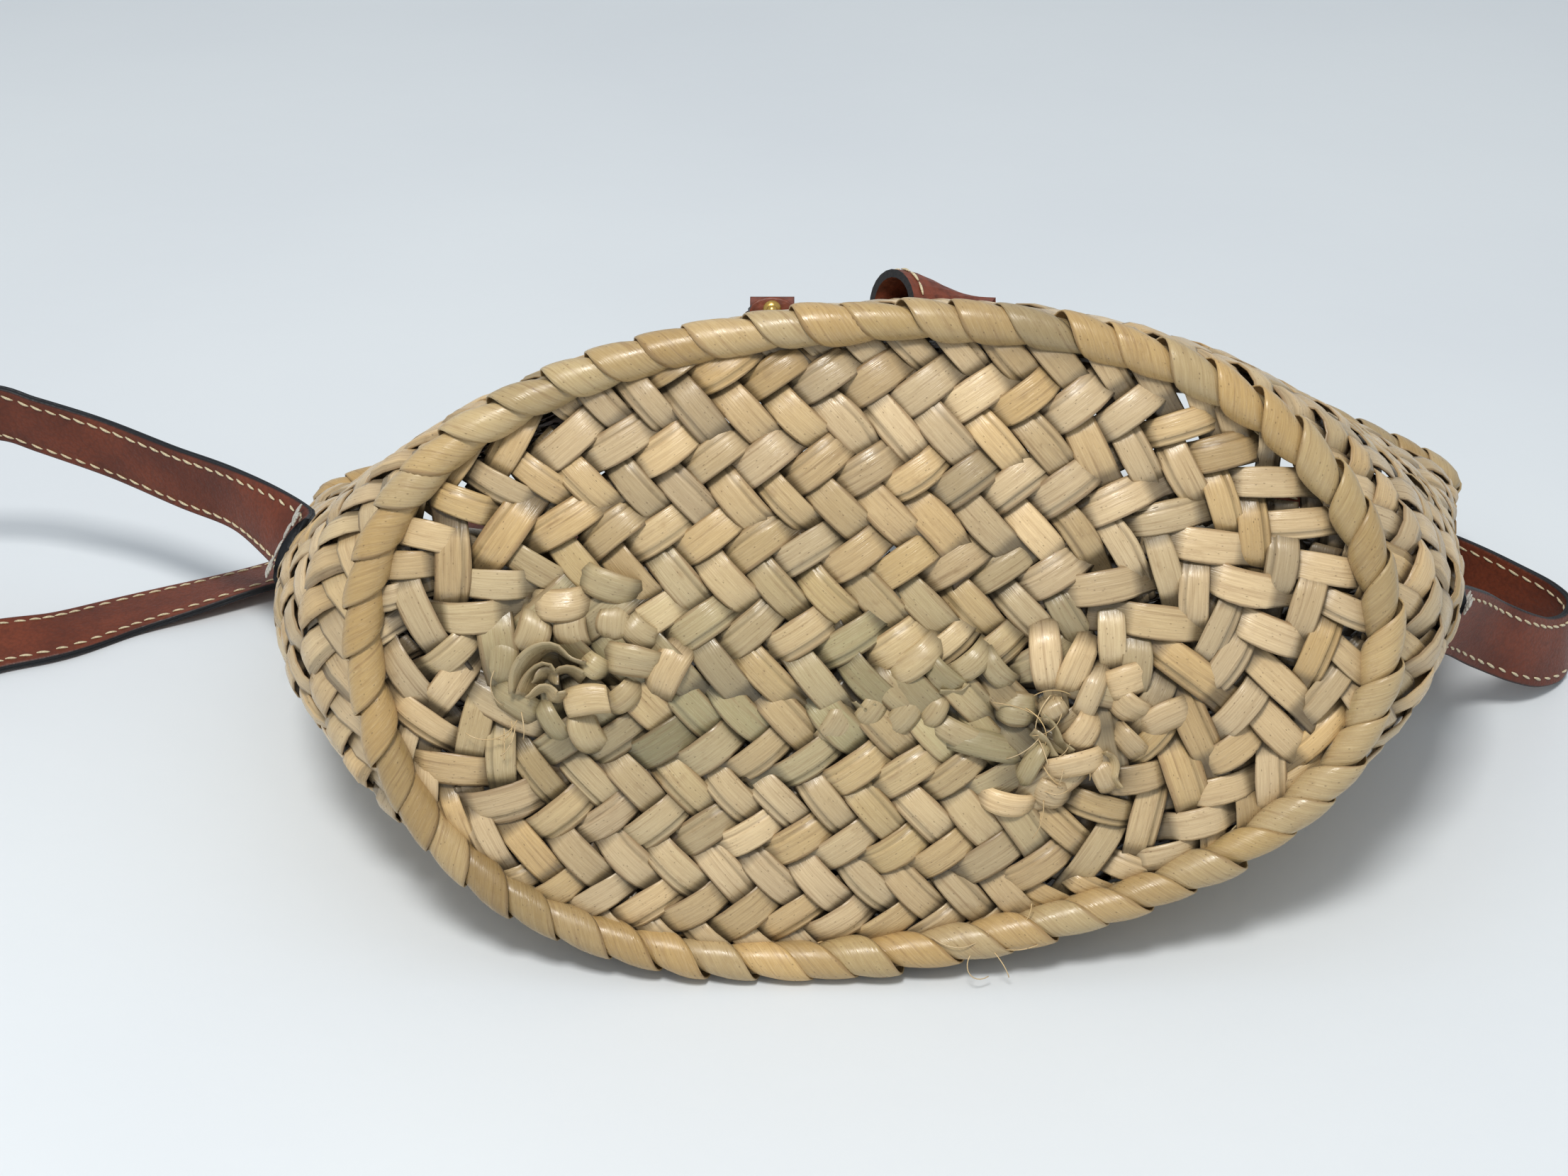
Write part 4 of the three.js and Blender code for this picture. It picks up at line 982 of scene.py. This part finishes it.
def strapSections():
    tableZ = float(toRaw(0, baseLow, rimRadius)[2]) - rimRadius
    left = [seatSection(strapLook["startLeft"] + strapLook["seatLength"] * k / 2, strapLook["riseLeft"], -1) for k in range(3)]
    right = [seatSection(strapLook["startRight"] + strapLook["seatLength"] * k / 2, strapLook["riseRight"], 1) for k in range(3)]
    flat = strapRoute[:, :2] * [bag["mouthWidth"] / 2, bag["height"]]
    heading = unit(np.concatenate([flat[1:], flat[-1:]]) - np.concatenate([flat[:1], flat[:-1]]))
    tilt = strapRoute[:, 3] * radians
    half = (strapLook["width"] * np.abs(np.cos(tilt)) + strapLook["thickness"] * np.abs(np.sin(tilt))) / 2
    points = np.column_stack([flat, tableZ + strapRoute[:, 2] * bag["baseDepth"] / 2 + half])
    widths = np.column_stack([-heading[:, 1] * np.sin(tilt), heading[:, 0] * np.sin(tilt), np.cos(tilt)])
    nodes = np.array([left[1]["centre"], left[2]["centre"], *points, right[2]["centre"], right[1]["centre"]])
    bands = np.array([left[2]["width"], left[2]["width"], *widths, right[2]["width"], right[2]["width"]])
    spans = len(nodes) - 1
    dense = np.linspace(1 / spans, 1 - 1 / spans, 2400)
    curve = np.array([catmull(nodes, t) for t in dense])
    run = np.concatenate([[0], np.cumsum(np.linalg.norm(np.diff(curve, axis=0), axis=1))])
    total = run[-1]
    wanted = np.linspace(0, total, int(total / strapLook["step"]) + 1)
    t = np.interp(wanted, run, dense)
    centre = np.stack([np.interp(wanted, run, curve[:, k]) for k in range(3)], 1)
    tangent = unit(np.gradient(centre, axis=0))
    row = np.minimum((t * spans).astype(int), spans - 1)
    w = (t * spans - row)[:, None]
    width = mix(bands[row], bands[np.minimum(row + 1, spans)], w)
    soft = 9  # sections over which the twist is eased
    kernel = np.hanning(2 * soft + 1)
    kernel /= kernel.sum()
    padded = np.concatenate([np.repeat(width[:1], soft, 0), width, np.repeat(width[-1:], soft, 0)])
    width = np.stack([np.convolve(padded[:, k], kernel, "valid") for k in range(3)], 1)
    width = unit(width - tangent * (width * tangent).sum(1)[:, None])
    thick = np.cross(width, tangent)
    cup = left[2]["cup"] * np.exp(-wanted / strapLook["cupFade"]) + right[2]["cup"] * np.exp((wanted - total) / strapLook["cupFade"])
    def seatPart(seats, sign):
        along = np.linspace(0, 1, 6)[:-1]
        read = lambda key: np.stack([np.interp(along, [0, 0.5, 1], np.array([s[key] for s in seats])[:, k]) for k in range(3)], 1)
        return read("centre"), unit(read("width")), unit(read("thick"))
    lc, lw, lt = seatPart(left, 1)
    rc, rw, rt = seatPart(right, -1)
    centre = np.concatenate([lc, centre, rc[::-1]])
    width = np.concatenate([lw, width, rw[::-1]])
    thick = np.concatenate([lt, thick, rt[::-1]])
    cup = np.concatenate([np.full(5, left[2]["cup"]), cup, np.full(5, right[2]["cup"])])
    length = np.concatenate([[0], np.cumsum(np.linalg.norm(np.diff(centre, axis=0), axis=1))])
    return centre, width, thick, cup, length


strapCentre, strapWidthWay, strapThick, strapCup, strapRun = strapSections()
print("strap length", round(strapRun[-1]))
# Cross-section: across, height, and how near the painted edge; two layers meet in a groove at each edge
strapProfile = []
for sign in (1, -1):
    face = [(-10.3, 1.4), (-9.6, 1.42), (-8.6, 1.30), (-7.6, 1.42), (-5, 1.48), (0, 1.5), (5, 1.48), (7.6, 1.42), (8.6, 1.30),
            (9.6, 1.42), (10.3, 1.4)]
    edge = [(10.85, 1.05), (11, 0.6), (10.95, 0.2), (10.7, 0.0)]
    side = [(a * sign, b * sign) for a, b in face + edge]
    lower = [(10.95 * sign, -0.2 * sign), (11 * sign, -0.6 * sign), (10.85 * sign, -1.05 * sign)]
    strapProfile += side + lower
strapProfile = np.array(strapProfile)


def strapSkin():
    across, high = strapProfile[:, 0], strapProfile[:, 1] * strapLook["thickness"] / 3.0
    lateral = strapWidthWay[:, None] * across[None, :, None]
    vertical = strapThick[:, None] * (high[None] - strapCup[:, None] * across[None] ** 2)[..., None]
    points = strapCentre[:, None] + lateral + vertical
    rows, columns = points.shape[:2]
    i, j = np.meshgrid(np.arange(rows - 1), np.arange(columns), indexing="ij")
    corner = lambda p, q: p * columns + q % columns
    faces = np.stack([corner(i, j), corner(i, j + 1), corner(i + 1, j + 1), corner(i + 1, j)], -1).reshape(-1, 4)
    capA, capB = [], []
    for k in range(columns // 2 - 1):
        capA.append([k, columns - 1 - k, columns - 2 - k, k + 1])
    capA = np.array(capA)
    capB = capA[:, ::-1] + (rows - 1) * columns
    faces = np.concatenate([faces, capA, capB])
    uv = np.stack([strapRun[:, None] + 0 * across, across[None] + 0 * strapRun[:, None]], -1)
    tone = np.zeros((rows, columns, 4))
    tone[..., 0] = np.clip((np.abs(across) - 10.35) / 0.25, 0, 1)[None]
    tone[0, :, 0] = 1
    tone[-1, :, 0] = 1
    tone[..., 3] = 1
    turn = np.cross(points[1, 5] - points[0, 5], points[0, 6] - points[0, 5]) @ strapThick[0]
    if turn > 0:
        faces = faces[:, ::-1]
    return makeMesh("strap_leather", points, faces, uv, tone)


def leatherMaterial(name, colour, deep, grain=1.0):
    material, tree = newMaterial(name)
    b = Builder(tree)
    tone = b.node("ShaderNodeVertexColor", layer_name="tone")
    edge = b.node("ShaderNodeSeparateColor", {0: tone.outputs[0]}).outputs[0]
    spot = b.node("ShaderNodeTexCoord").outputs[3]
    pebble = b.node("ShaderNodeTexVoronoi", {"Vector": spot, "Scale": 850.0 * grain, "Randomness": 1.0}, feature="SMOOTH_F1")
    pebble.inputs["Smoothness"].default_value = 0.6
    small = b.noise(spot, 1900.0, 3.0, 0.6)
    creases = b.noise(spot, 260.0, 4.0, 0.62)
    cloud = b.noise(spot, 45.0, 3.0, 0.55)
    base = b.blend(b.ramp(cloud, 0.3, 0.7), linear(*colour), linear(*deep))
    base = b.blend(b.ramp(creases, 0.55, 0.75, 0.0, 0.35), base, linear(70, 36, 26))
    base = b.blend(b.ramp(pebble.outputs[0], 0.35, 0.75, 0.0, 0.3), base, linear(80, 42, 30))
    base = b.blend(edge, base, linear(26, 28, 32))
    height = b.math("ADD", b.math("MULTIPLY", b.math("SUBTRACT", 1.0, pebble.outputs[0]), 0.55), b.math("MULTIPLY", small, 0.25))
    height = b.math("ADD", height, b.math("MULTIPLY", creases, 0.9))
    bump = b.node("ShaderNodeBump", {"Strength": 0.55, "Distance": 0.0004, "Height": height})
    rough = b.ramp(small, 0.3, 0.7, 0.42, 0.58)
    shader = b.node("ShaderNodeBsdfPrincipled", {"Base Color": base, "Roughness": rough, "Normal": bump.outputs[0],
                                                 "Specular IOR Level": 0.45})
    b.node("ShaderNodeOutputMaterial", {0: shader.outputs[0]})
    return material


leatherStuff = leatherMaterial("chestnutLeather", (122, 62, 40), (97, 48, 32))
finishPiece(strapSkin(), "shoulder_strap", leatherStuff)


def threadMaterial(name, colour):
    material, tree = newMaterial(name)
    b = Builder(tree)
    spot = b.node("ShaderNodeTexCoord").outputs[3]
    fuzz = b.noise(spot, 2600.0, 2.0, 0.6)
    base = b.blend(b.ramp(fuzz, 0.3, 0.75), linear(*colour), linear(*[int(v * 0.78) for v in colour]))
    bump = b.node("ShaderNodeBump", {"Strength": 0.5, "Distance": 0.0002, "Height": fuzz})
    shader = b.node("ShaderNodeBsdfPrincipled", {"Base Color": base, "Roughness": 0.62, "Normal": bump.outputs[0],
                                                 "Sheen Weight": 0.2})
    b.node("ShaderNodeOutputMaterial", {0: shader.outputs[0]})
    return material


creamThread = threadMaterial("creamThread", (226, 212, 176))
greyThread = threadMaterial("greyThread", (196, 192, 182))


def stitchShape(name, length, thick):
    """One stitch: a plump capsule along X, flattened where it enters the leather"""
    rings, sides = 7, 8
    points = []
    for i in range(rings):
        t = i / (rings - 1)
        x = (t - 0.5) * length
        full = math.sin(math.pi * min(max(t, 0.06), 0.94)) ** 0.45
        lift = 0.22 * math.sin(math.pi * t)
        for k in range(sides):
            angle = 2 * math.pi * k / sides
            points.append((x, thick * 0.5 * full * math.cos(angle), lift + thick * 0.42 * full * math.sin(angle)))
    faces = []
    for i in range(rings - 1):
        for k in range(sides):
            n = (k + 1) % sides
            faces.append((i * sides + k, i * sides + n, (i + 1) * sides + n, (i + 1) * sides + k))
    faces.append(tuple(reversed(range(sides))))
    faces.append(tuple(range((rings - 1) * sides, rings * sides)))
    mesh = bpy.data.meshes.new(name)
    mesh.from_pydata([tuple(c * mm for c in p) for p in points], [], [f[::-1] for f in faces])
    for polygon in mesh.polygons:
        polygon.use_smooth = True
    return mesh


def stitchTree(name):
    """Sets a stitch on each point of a mesh, turned and stretched by the point's own values"""
    tree = bpy.data.node_groups.new(name, "GeometryNodeTree")
    face = tree.interface
    face.new_socket("Geometry", in_out="INPUT", socket_type="NodeSocketGeometry")
    face.new_socket("Stitch", in_out="INPUT", socket_type="NodeSocketObject")
    face.new_socket("Thread", in_out="INPUT", socket_type="NodeSocketMaterial")
    wander = face.new_socket("Wander", in_out="INPUT", socket_type="NodeSocketFloat")
    wander.default_value = 0.08
    seed = face.new_socket("Seed", in_out="INPUT", socket_type="NodeSocketInt")
    seed.default_value = 3
    face.new_socket("Geometry", in_out="OUTPUT", socket_type="NodeSocketGeometry")
    nodes, links = tree.nodes, tree.links
    start, end = nodes.new("NodeGroupInput"), nodes.new("NodeGroupOutput")
    info = nodes.new("GeometryNodeObjectInfo")
    toPoints = nodes.new("GeometryNodeMeshToPoints")
    setOn = nodes.new("GeometryNodeInstanceOnPoints")
    turn = nodes.new("GeometryNodeInputNamedAttribute")
    turn.data_type = "FLOAT_VECTOR"
    turn.inputs["Name"].default_value = "turn"
    asTurn = nodes.new("FunctionNodeEulerToRotation")
    jitter = nodes.new("FunctionNodeRandomValue")
    jitter.data_type = "FLOAT_VECTOR"
    low, high = nodes.new("ShaderNodeMath"), nodes.new("ShaderNodeMath")
    low.operation, high.operation = "SUBTRACT", "ADD"
    low.inputs[0].default_value = high.inputs[0].default_value = 1.0
    real = nodes.new("GeometryNodeRealizeInstances")
    paint = nodes.new("GeometryNodeSetMaterial")
    links.new(start.outputs["Geometry"], toPoints.inputs["Mesh"])
    links.new(start.outputs["Stitch"], info.inputs["Object"])
    links.new(toPoints.outputs["Points"], setOn.inputs["Points"])
    links.new(info.outputs["Geometry"], setOn.inputs["Instance"])
    links.new(turn.outputs["Attribute"], asTurn.inputs["Euler"])
    links.new(asTurn.outputs["Rotation"], setOn.inputs["Rotation"])
    links.new(start.outputs["Wander"], low.inputs[1])
    links.new(start.outputs["Wander"], high.inputs[1])
    links.new(low.outputs[0], jitter.inputs["Min"])
    links.new(high.outputs[0], jitter.inputs["Max"])
    links.new(start.outputs["Seed"], jitter.inputs["Seed"])
    links.new(jitter.outputs["Value"], setOn.inputs["Scale"])
    links.new(setOn.outputs["Instances"], real.inputs["Geometry"])
    links.new(real.outputs["Geometry"], paint.inputs["Geometry"])
    links.new(start.outputs["Thread"], paint.inputs["Material"])
    links.new(paint.outputs["Geometry"], end.inputs["Geometry"])
    return tree


stitchNodes = stitchTree("sewOnPoints")


def sewPiece(name, points, forward, outward, shape, thread, seed, slotName="brown_leather"):
    """Stitches at points, each along forward with its top towards outward"""
    forward = unit(forward)
    outward = unit(outward - forward * (outward * forward).sum(1)[:, None])
    side = np.cross(outward, forward)
    from mathutils import Matrix
    eulers = np.array([Matrix((forward[k], side[k], outward[k])).transposed().to_euler() for k in range(len(points))])
    mesh = bpy.data.meshes.new(name + "_points")
    mesh.vertices.add(len(points))
    mesh.vertices.foreach_set("co", ((points + place) * mm).ravel())
    turn = mesh.attributes.new("turn", "FLOAT_VECTOR", "POINT")
    turn.data.foreach_set("vector", eulers.astype(np.float32).ravel())
    holder = bpy.data.objects.new(name + "_points", mesh)
    pattern = bpy.data.objects.new(name + "_pattern", shape)
    bpy.context.scene.collection.objects.link(holder)
    bpy.context.scene.collection.objects.link(pattern)
    sewing = holder.modifiers.new("sew", "NODES")
    sewing.node_group = stitchNodes
    inputs = {item.name: item.identifier for item in stitchNodes.interface.items_tree if item.in_out == "INPUT"}
    sewing[inputs["Stitch"]] = pattern
    sewing[inputs["Thread"]] = thread
    sewing[inputs["Wander"]] = 0.08
    sewing[inputs["Seed"]] = seed
    graph = bpy.context.evaluated_depsgraph_get()
    graph.update()
    plain = bpy.data.meshes.new_from_object(holder.evaluated_get(graph), depsgraph=graph)
    plain.name = name
    bpy.data.objects.remove(holder)
    bpy.data.objects.remove(pattern)
    piece = bpy.data.objects.new(name, plain)
    bpy.context.scene.collection.objects.link(piece)
    finishPiece(piece, None, thread)
    return piece


def strapStitches():
    run = np.arange(5, strapRun[-1] - 4, strapLook["stitchPitch"])
    read = lambda values: np.stack([np.interp(run, strapRun, values[:, k]) for k in range(3)], 1)
    centre, width, thick = read(strapCentre), unit(read(strapWidthWay)), unit(read(strapThick))
    cup = np.interp(run, strapRun, strapCup)
    tangent = unit(np.gradient(read(strapCentre), axis=0))
    inset = strapLook["width"] / 2 - strapLook["stitchInset"]
    spots, ways, outs = [], [], []
    for face in (1, -1):
        for side in (1, -1):
            level = face * 1.28 - cup * inset ** 2
            spots.append(centre + width * side * inset + thick * level[:, None])
            ways.append(tangent + width * 0.16 * face)
            outs.append(thick * face)
    return np.concatenate(spots), np.concatenate(ways), np.concatenate(outs)


stitch = stitchShape("stitch", strapLook["stitchLength"], 0.85)
sewPiece("strap_stitches", *strapStitches(), stitch, creamThread, 5)


def anchorStitches():
    """Heavy thread that sews both ends of the strap to the basket"""
    spots, ways, outs = [], [], []
    for end, step in ((0, 1), (len(strapRun) - 1, -1)):
        into = unit(strapCentre[end + step] - strapCentre[end])
        for across in (-10, -8.8, -7.6, 7.6, 8.8, 10):
            spots.append(strapCentre[end] + strapWidthWay[end] * across + into * 0.4 + strapThick[end] * 0.9)
            ways.append(into + strapWidthWay[end] * 0.2)
            outs.append(strapThick[end])
        for along in (2.5, 6.0, 9.5):
            for across in (-6, -2, 2, 6):
                spots.append(strapCentre[end] + strapWidthWay[end] * across * 1.5 + into * along + strapThick[end] * 1.4)
                ways.append(strapWidthWay[end])
                outs.append(strapThick[end])
    return np.array(spots), np.array(ways), np.array(outs)


heavyStitch = stitchShape("heavyStitch", 4.6, 1.2)
sewPiece("strap_anchor_thread", *anchorStitches(), heavyStitch, greyThread, 9)

# ---- closure pieces: the curled tab's solid stays, with softened edges; the closure tab and its stud are built anew

tabs = {
    "station": 74, "closureAcross": -24, "curledAcross": 20, "curledWidth": 22, "curledLength": 28, "curledThick": 2.2,
    "curledArch": 7.5, "curledTurn": 35, "narrowing": 0.42,
}


def dressNode(node, material, bevel, edgeMaterial=None, edgeWays=()):
    """A node's own mesh with softened edges; faces that look along one of edgeWays get the edge's paint"""
    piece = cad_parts[node]
    mesh = piece.data
    mesh.materials.clear()
    mesh.materials.append(material)
    if edgeMaterial:
        mesh.materials.append(edgeMaterial)
        turn = piece.matrix_world.to_3x3()
        for polygon in mesh.polygons:
            way = np.array(turn @ polygon.normal)
            polygon.material_index = int(any(abs(float(way @ edge)) > 0.9 for edge in edgeWays))
    if bevel:
        soft = piece.modifiers.new("softEdge", "BEVEL")
        soft.width = bevel * mm
        soft.segments = 3
        soft.limit_method = "ANGLE"
        soft.angle_limit = 50 * radians
    return piece


def paintMaterial():
    material, tree = newMaterial("edgePaint")
    b = Builder(tree)
    spot = b.node("ShaderNodeTexCoord").outputs[3]
    grain = b.noise(spot, 1400.0, 3.0, 0.6)
    bump = b.node("ShaderNodeBump", {"Strength": 0.4, "Distance": 0.0002, "Height": grain})
    base = b.blend(b.ramp(grain, 0.3, 0.7), linear(24, 25, 28), linear(44, 40, 40))
    shader = b.node("ShaderNodeBsdfPrincipled", {"Base Color": base, "Roughness": 0.42, "Normal": bump.outputs[0]})
    b.node("ShaderNodeOutputMaterial", {0: shader.outputs[0]})
    return material


def tabLeather():
    material, tree = newMaterial("tabLeather")
    b = Builder(tree)
    spot = b.node("ShaderNodeTexCoord").outputs[3]
    pebble = b.node("ShaderNodeTexVoronoi", {"Vector": spot, "Scale": 900.0}, feature="SMOOTH_F1")
    creases = b.noise(spot, 320.0, 4.0, 0.6)
    base = b.blend(b.ramp(creases, 0.35, 0.7), linear(128, 68, 48), linear(96, 50, 36))
    height = b.math("ADD", b.math("MULTIPLY", pebble.outputs[0], -0.5), creases)
    bump = b.node("ShaderNodeBump", {"Strength": 0.5, "Distance": 0.0004, "Height": height})
    shader = b.node("ShaderNodeBsdfPrincipled", {"Base Color": base, "Roughness": 0.48, "Normal": bump.outputs[0]})
    b.node("ShaderNodeOutputMaterial", {0: shader.outputs[0]})
    return material


def brassMaterial():
    material, tree = newMaterial("brassStud")
    b = Builder(tree)
    spot = b.node("ShaderNodeTexCoord").outputs[3]
    scuff = b.noise(spot, 1500.0, 3.0, 0.6)
    shader = b.node("ShaderNodeBsdfPrincipled", {
        "Base Color": linear(214, 178, 104), "Metallic": 1.0, "Roughness": b.ramp(scuff, 0.3, 0.7, 0.2, 0.38)})
    b.node("ShaderNodeOutputMaterial", {0: shader.outputs[0]})
    return material


def seatOnTop(along, across):
    ring = ovalRing(along, insetAt(along), fineSteps)[:fineSteps // 2]
    share = float(np.argmin(np.abs(ring[:, 0] - across))) / fineSteps
    point, outward = wallAt(np.array([share]), np.array([float(along)]))
    outward = outward[0]
    sideways = unit(acrossAxis - outward * outward[0])
    forward = np.cross(outward, sideways)
    foot = point[0] + outward * (bag["gap"] - insetAt(along))
    return foot, sideways, forward, outward


def curledTabAt(t, angle):
    """A place on the curled tab's outer face, at a share of its length and an angle over its arch"""
    foot, sideways, forward, outward = seatOnTop(tabs["station"], tabs["curledAcross"])
    ease = t ** 3 * (t * (6 * t - 15) + 10)
    arch = tabs["curledArch"] * (1 - ease)
    chord = tabs["curledWidth"] / 2 - arch * tabs["narrowing"]
    out = unit(np.array([arch * math.sin(angle), chord * math.cos(angle) + 1e-6]))
    x = tabs["curledLength"] * (t - 0.5)
    y = chord * math.sin(angle) + tabs["curledThick"] * out[0]
    z = arch * math.cos(angle) + tabs["curledThick"] * max(out[1], 0.25)
    turn = tabs["curledTurn"] * radians
    x, y = x * math.cos(turn) - y * math.sin(turn), x * math.sin(turn) + y * math.cos(turn)
    return foot + sideways * x + forward * y + outward * z


def tabStitches():
    spots, ways, outs = [], [], []
    foot, sideways, forward, outward = seatOnTop(tabs["station"], tabs["curledAcross"])
    for angle in np.linspace(-65, 65, 6) * radians:
        spots.append(curledTabAt(0.11, angle))
        ways.append(curledTabAt(0.11, angle + 0.05) - curledTabAt(0.11, angle - 0.05))
        outs.append(outward * math.cos(angle) + np.cross(outward, ways[-1]) * 0)
    return np.array(spots), np.array(ways), np.array(outs)


sewPiece("tab_stitches", *tabStitches(), stitch, creamThread, 13)
tabStuff, paintStuff = tabLeather(), paintMaterial()
_, tabSideways, tabForward, tabOutward = seatOnTop(tabs["station"], tabs["curledAcross"])
tabTurn = tabs["curledTurn"] * radians
curledWay = tabSideways * math.cos(tabTurn) + tabForward * math.sin(tabTurn)
dressNode("curled_tab", tabStuff, 0.35, paintStuff, [curledWay])

closure = {
    "sections": 26, "thickness": 2.2, "roundedEnd": 3.6, "studFromEnd": 3.2,
    "line": [  # from the tab's front, and below its top
        (12.0, 6.2), (6.0, 5.6), (3.0, 6.4), (0.9, 5.2), (1.3, 2.6), (2.8, -0.4),
    ],
}


def boxCorners(node):
    low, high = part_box(node)
    return np.array(low) / mm - place, np.array(high) / mm - place


def closureTab():
    low, high = boxCorners("closure_tab")
    middle, width = (low[0] + high[0]) / 2, high[0] - low[0]
    corners = [(low[1] + ahead, high[2] - below) for ahead, below in closure["line"]]
    line = softLine(corners, closure["sections"])
    run = np.concatenate([[0], np.cumsum(np.linalg.norm(np.diff(line, axis=0), axis=1))])
    across = np.linspace(-1, 1, 17)
    shorter = closure["roundedEnd"] * (1 - np.sqrt(1 - across ** 2))
    wanted = np.linspace(0, 1, closure["sections"])[:, None] * (run[-1] - shorter)[None]
    read = lambda k: np.interp(wanted, run, line[:, k])
    points = np.stack([middle + width / 2 * across[None] + 0 * wanted, read(0), read(1)], -1)
    return points, int(np.argmin(np.abs(run[-1] - wanted[:, 8] - closure["studFromEnd"])))


def tabPiece():
    points, studRow = closureTab()
    normals = numericNormals(points[None])
    normals = normals * -np.sign(normals[0, studRow, 8, 1])
    rows, columns = points.shape[:2]
    uv = np.stack(np.meshgrid(np.linspace(0, 16, rows), np.linspace(-5, 5, columns), indexing="ij"), -1)[None]
    piece = leafPiece("closure_loop", points[None], normals, uv, np.array([[0.5, 0, 0, 0]]), closure["thickness"])
    mesh = piece.data
    finishPiece(piece, "closure_tab", tabStuff)
    mesh.materials.append(paintStuff)
    sheet = 2 * (rows - 1) * (columns - 1)
    for polygon in mesh.polygons:
        polygon.material_index = int(polygon.index >= sheet)
        polygon.use_smooth = polygon.index < sheet
    return points[studRow, 8], normals[0, studRow, 8]


studAt, studWay = tabPiece()


def studPiece():
    centre, up = studAt, studWay
    side = acrossAxis
    ahead = np.cross(up, side)
    profile = np.array([[2.5, -0.3], [2.5, 0.3], [1.4, 0.55], [0.9, 1.0], [1.15, 1.5], [1.5, 2.0], [1.45, 2.6], [1.05, 3.1], [0.5, 3.35],
                        [0.05, 3.4]])
    turns = np.linspace(0, 2 * math.pi, 28, endpoint=False)
    ring = profile[:, 0][:, None, None] * (np.cos(turns)[None, :, None] * side + np.sin(turns)[None, :, None] * ahead)
    points = centre + ring + (profile[:, 1][:, None] * up[None])[:, None]
    i, j = np.meshgrid(np.arange(len(profile) - 1), np.arange(28), indexing="ij")
    corner = lambda p, q: p * 28 + q % 28
    faces = np.stack([corner(i, j), corner(i, j + 1), corner(i + 1, j + 1), corner(i + 1, j)], -1).reshape(-1, 4)
    piece = makeMesh("stud_knob", points, faces)
    finishPiece(piece, "tab_stud", brassMaterial())


studPiece()

# ---- table, light and camera

stage = {"floorColour": (226, 230, 232), "floorSize": 6.0}


def makeFloor():
    half = stage["floorSize"] / 2
    mesh = bpy.data.meshes.new("table")
    mesh.from_pydata([(-half, -half, 0), (half, -half, 0), (half, half, 0), (-half, half, 0)], [], [(0, 1, 2, 3)])
    floor = bpy.data.objects.new("table", mesh)
    bpy.context.scene.collection.objects.link(floor)
    material, tree = newMaterial("paleTable")
    b = Builder(tree)
    spot = b.node("ShaderNodeTexCoord").outputs[3]
    cloud = b.noise(spot, 3.0, 3.0, 0.5)
    base = b.blend(b.ramp(cloud, 0.3, 0.7, 0.0, 0.5), linear(*stage["floorColour"]), linear(218, 222, 226))
    bump = b.node("ShaderNodeBump", {"Strength": 0.1, "Distance": 0.002, "Height": b.noise(spot, 60.0, 3.0, 0.5)})
    shader = b.node("ShaderNodeBsdfPrincipled", {"Base Color": base, "Roughness": 0.75, "Normal": bump.outputs[0],
                                                 "Specular IOR Level": 0.2})
    b.node("ShaderNodeOutputMaterial", {0: shader.outputs[0]})
    mesh.materials.append(material)
    floor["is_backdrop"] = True


makeFloor()
world = bpy.data.worlds.new("room")
bpy.context.scene.world = world
world.use_nodes = True
world.node_tree.nodes["Background"].inputs[0].default_value = linear(236, 242, 248)
world.node_tree.nodes["Background"].inputs[1].default_value = 0.68


def softLight(name, at, aim, size, power, colour):
    from mathutils import Vector
    data = bpy.data.lights.new(name, "AREA")
    data.shape = "RECTANGLE"
    data.size, data.size_y = size
    data.energy = power
    data.color = colour
    lamp = bpy.data.objects.new(name, data)
    bpy.context.scene.collection.objects.link(lamp)
    lamp.location = at
    lamp.rotation_euler = (Vector(aim) - Vector(at)).to_track_quat("-Z", "Y").to_euler()


softLight("ceiling", (-0.12, -0.62, 1.35), (0, 0, 0.05), (0.34, 0.28), 13.5, (1.0, 0.985, 0.96))

camera = bpy.data.objects.new("camera", bpy.data.cameras.new("camera"))
bpy.context.scene.collection.objects.link(camera)
lens = {"pixels": 3300, "picture": 2212, "across": -21, "rise": 141.2, "along": -578.9, "pitch": 12.1}
camera.data.sensor_width = 36
camera.data.lens = 36 * lens["pixels"] / lens["picture"]
camera.location = (toRaw(lens["across"], lens["rise"], lens["along"]) + place) * mm
camera.rotation_euler = (math.pi / 2 - lens["pitch"] * radians - lean, 0, 0)
camera.data.clip_start, camera.data.clip_end = 0.02, 30
bpy.context.scene.camera = camera
bpy.context.scene.view_settings.view_transform = "Standard"
bpy.context.scene.view_settings.gamma = 0.9

endBounds = [list(corner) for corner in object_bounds()]
print("bounds", startBounds, endBounds)
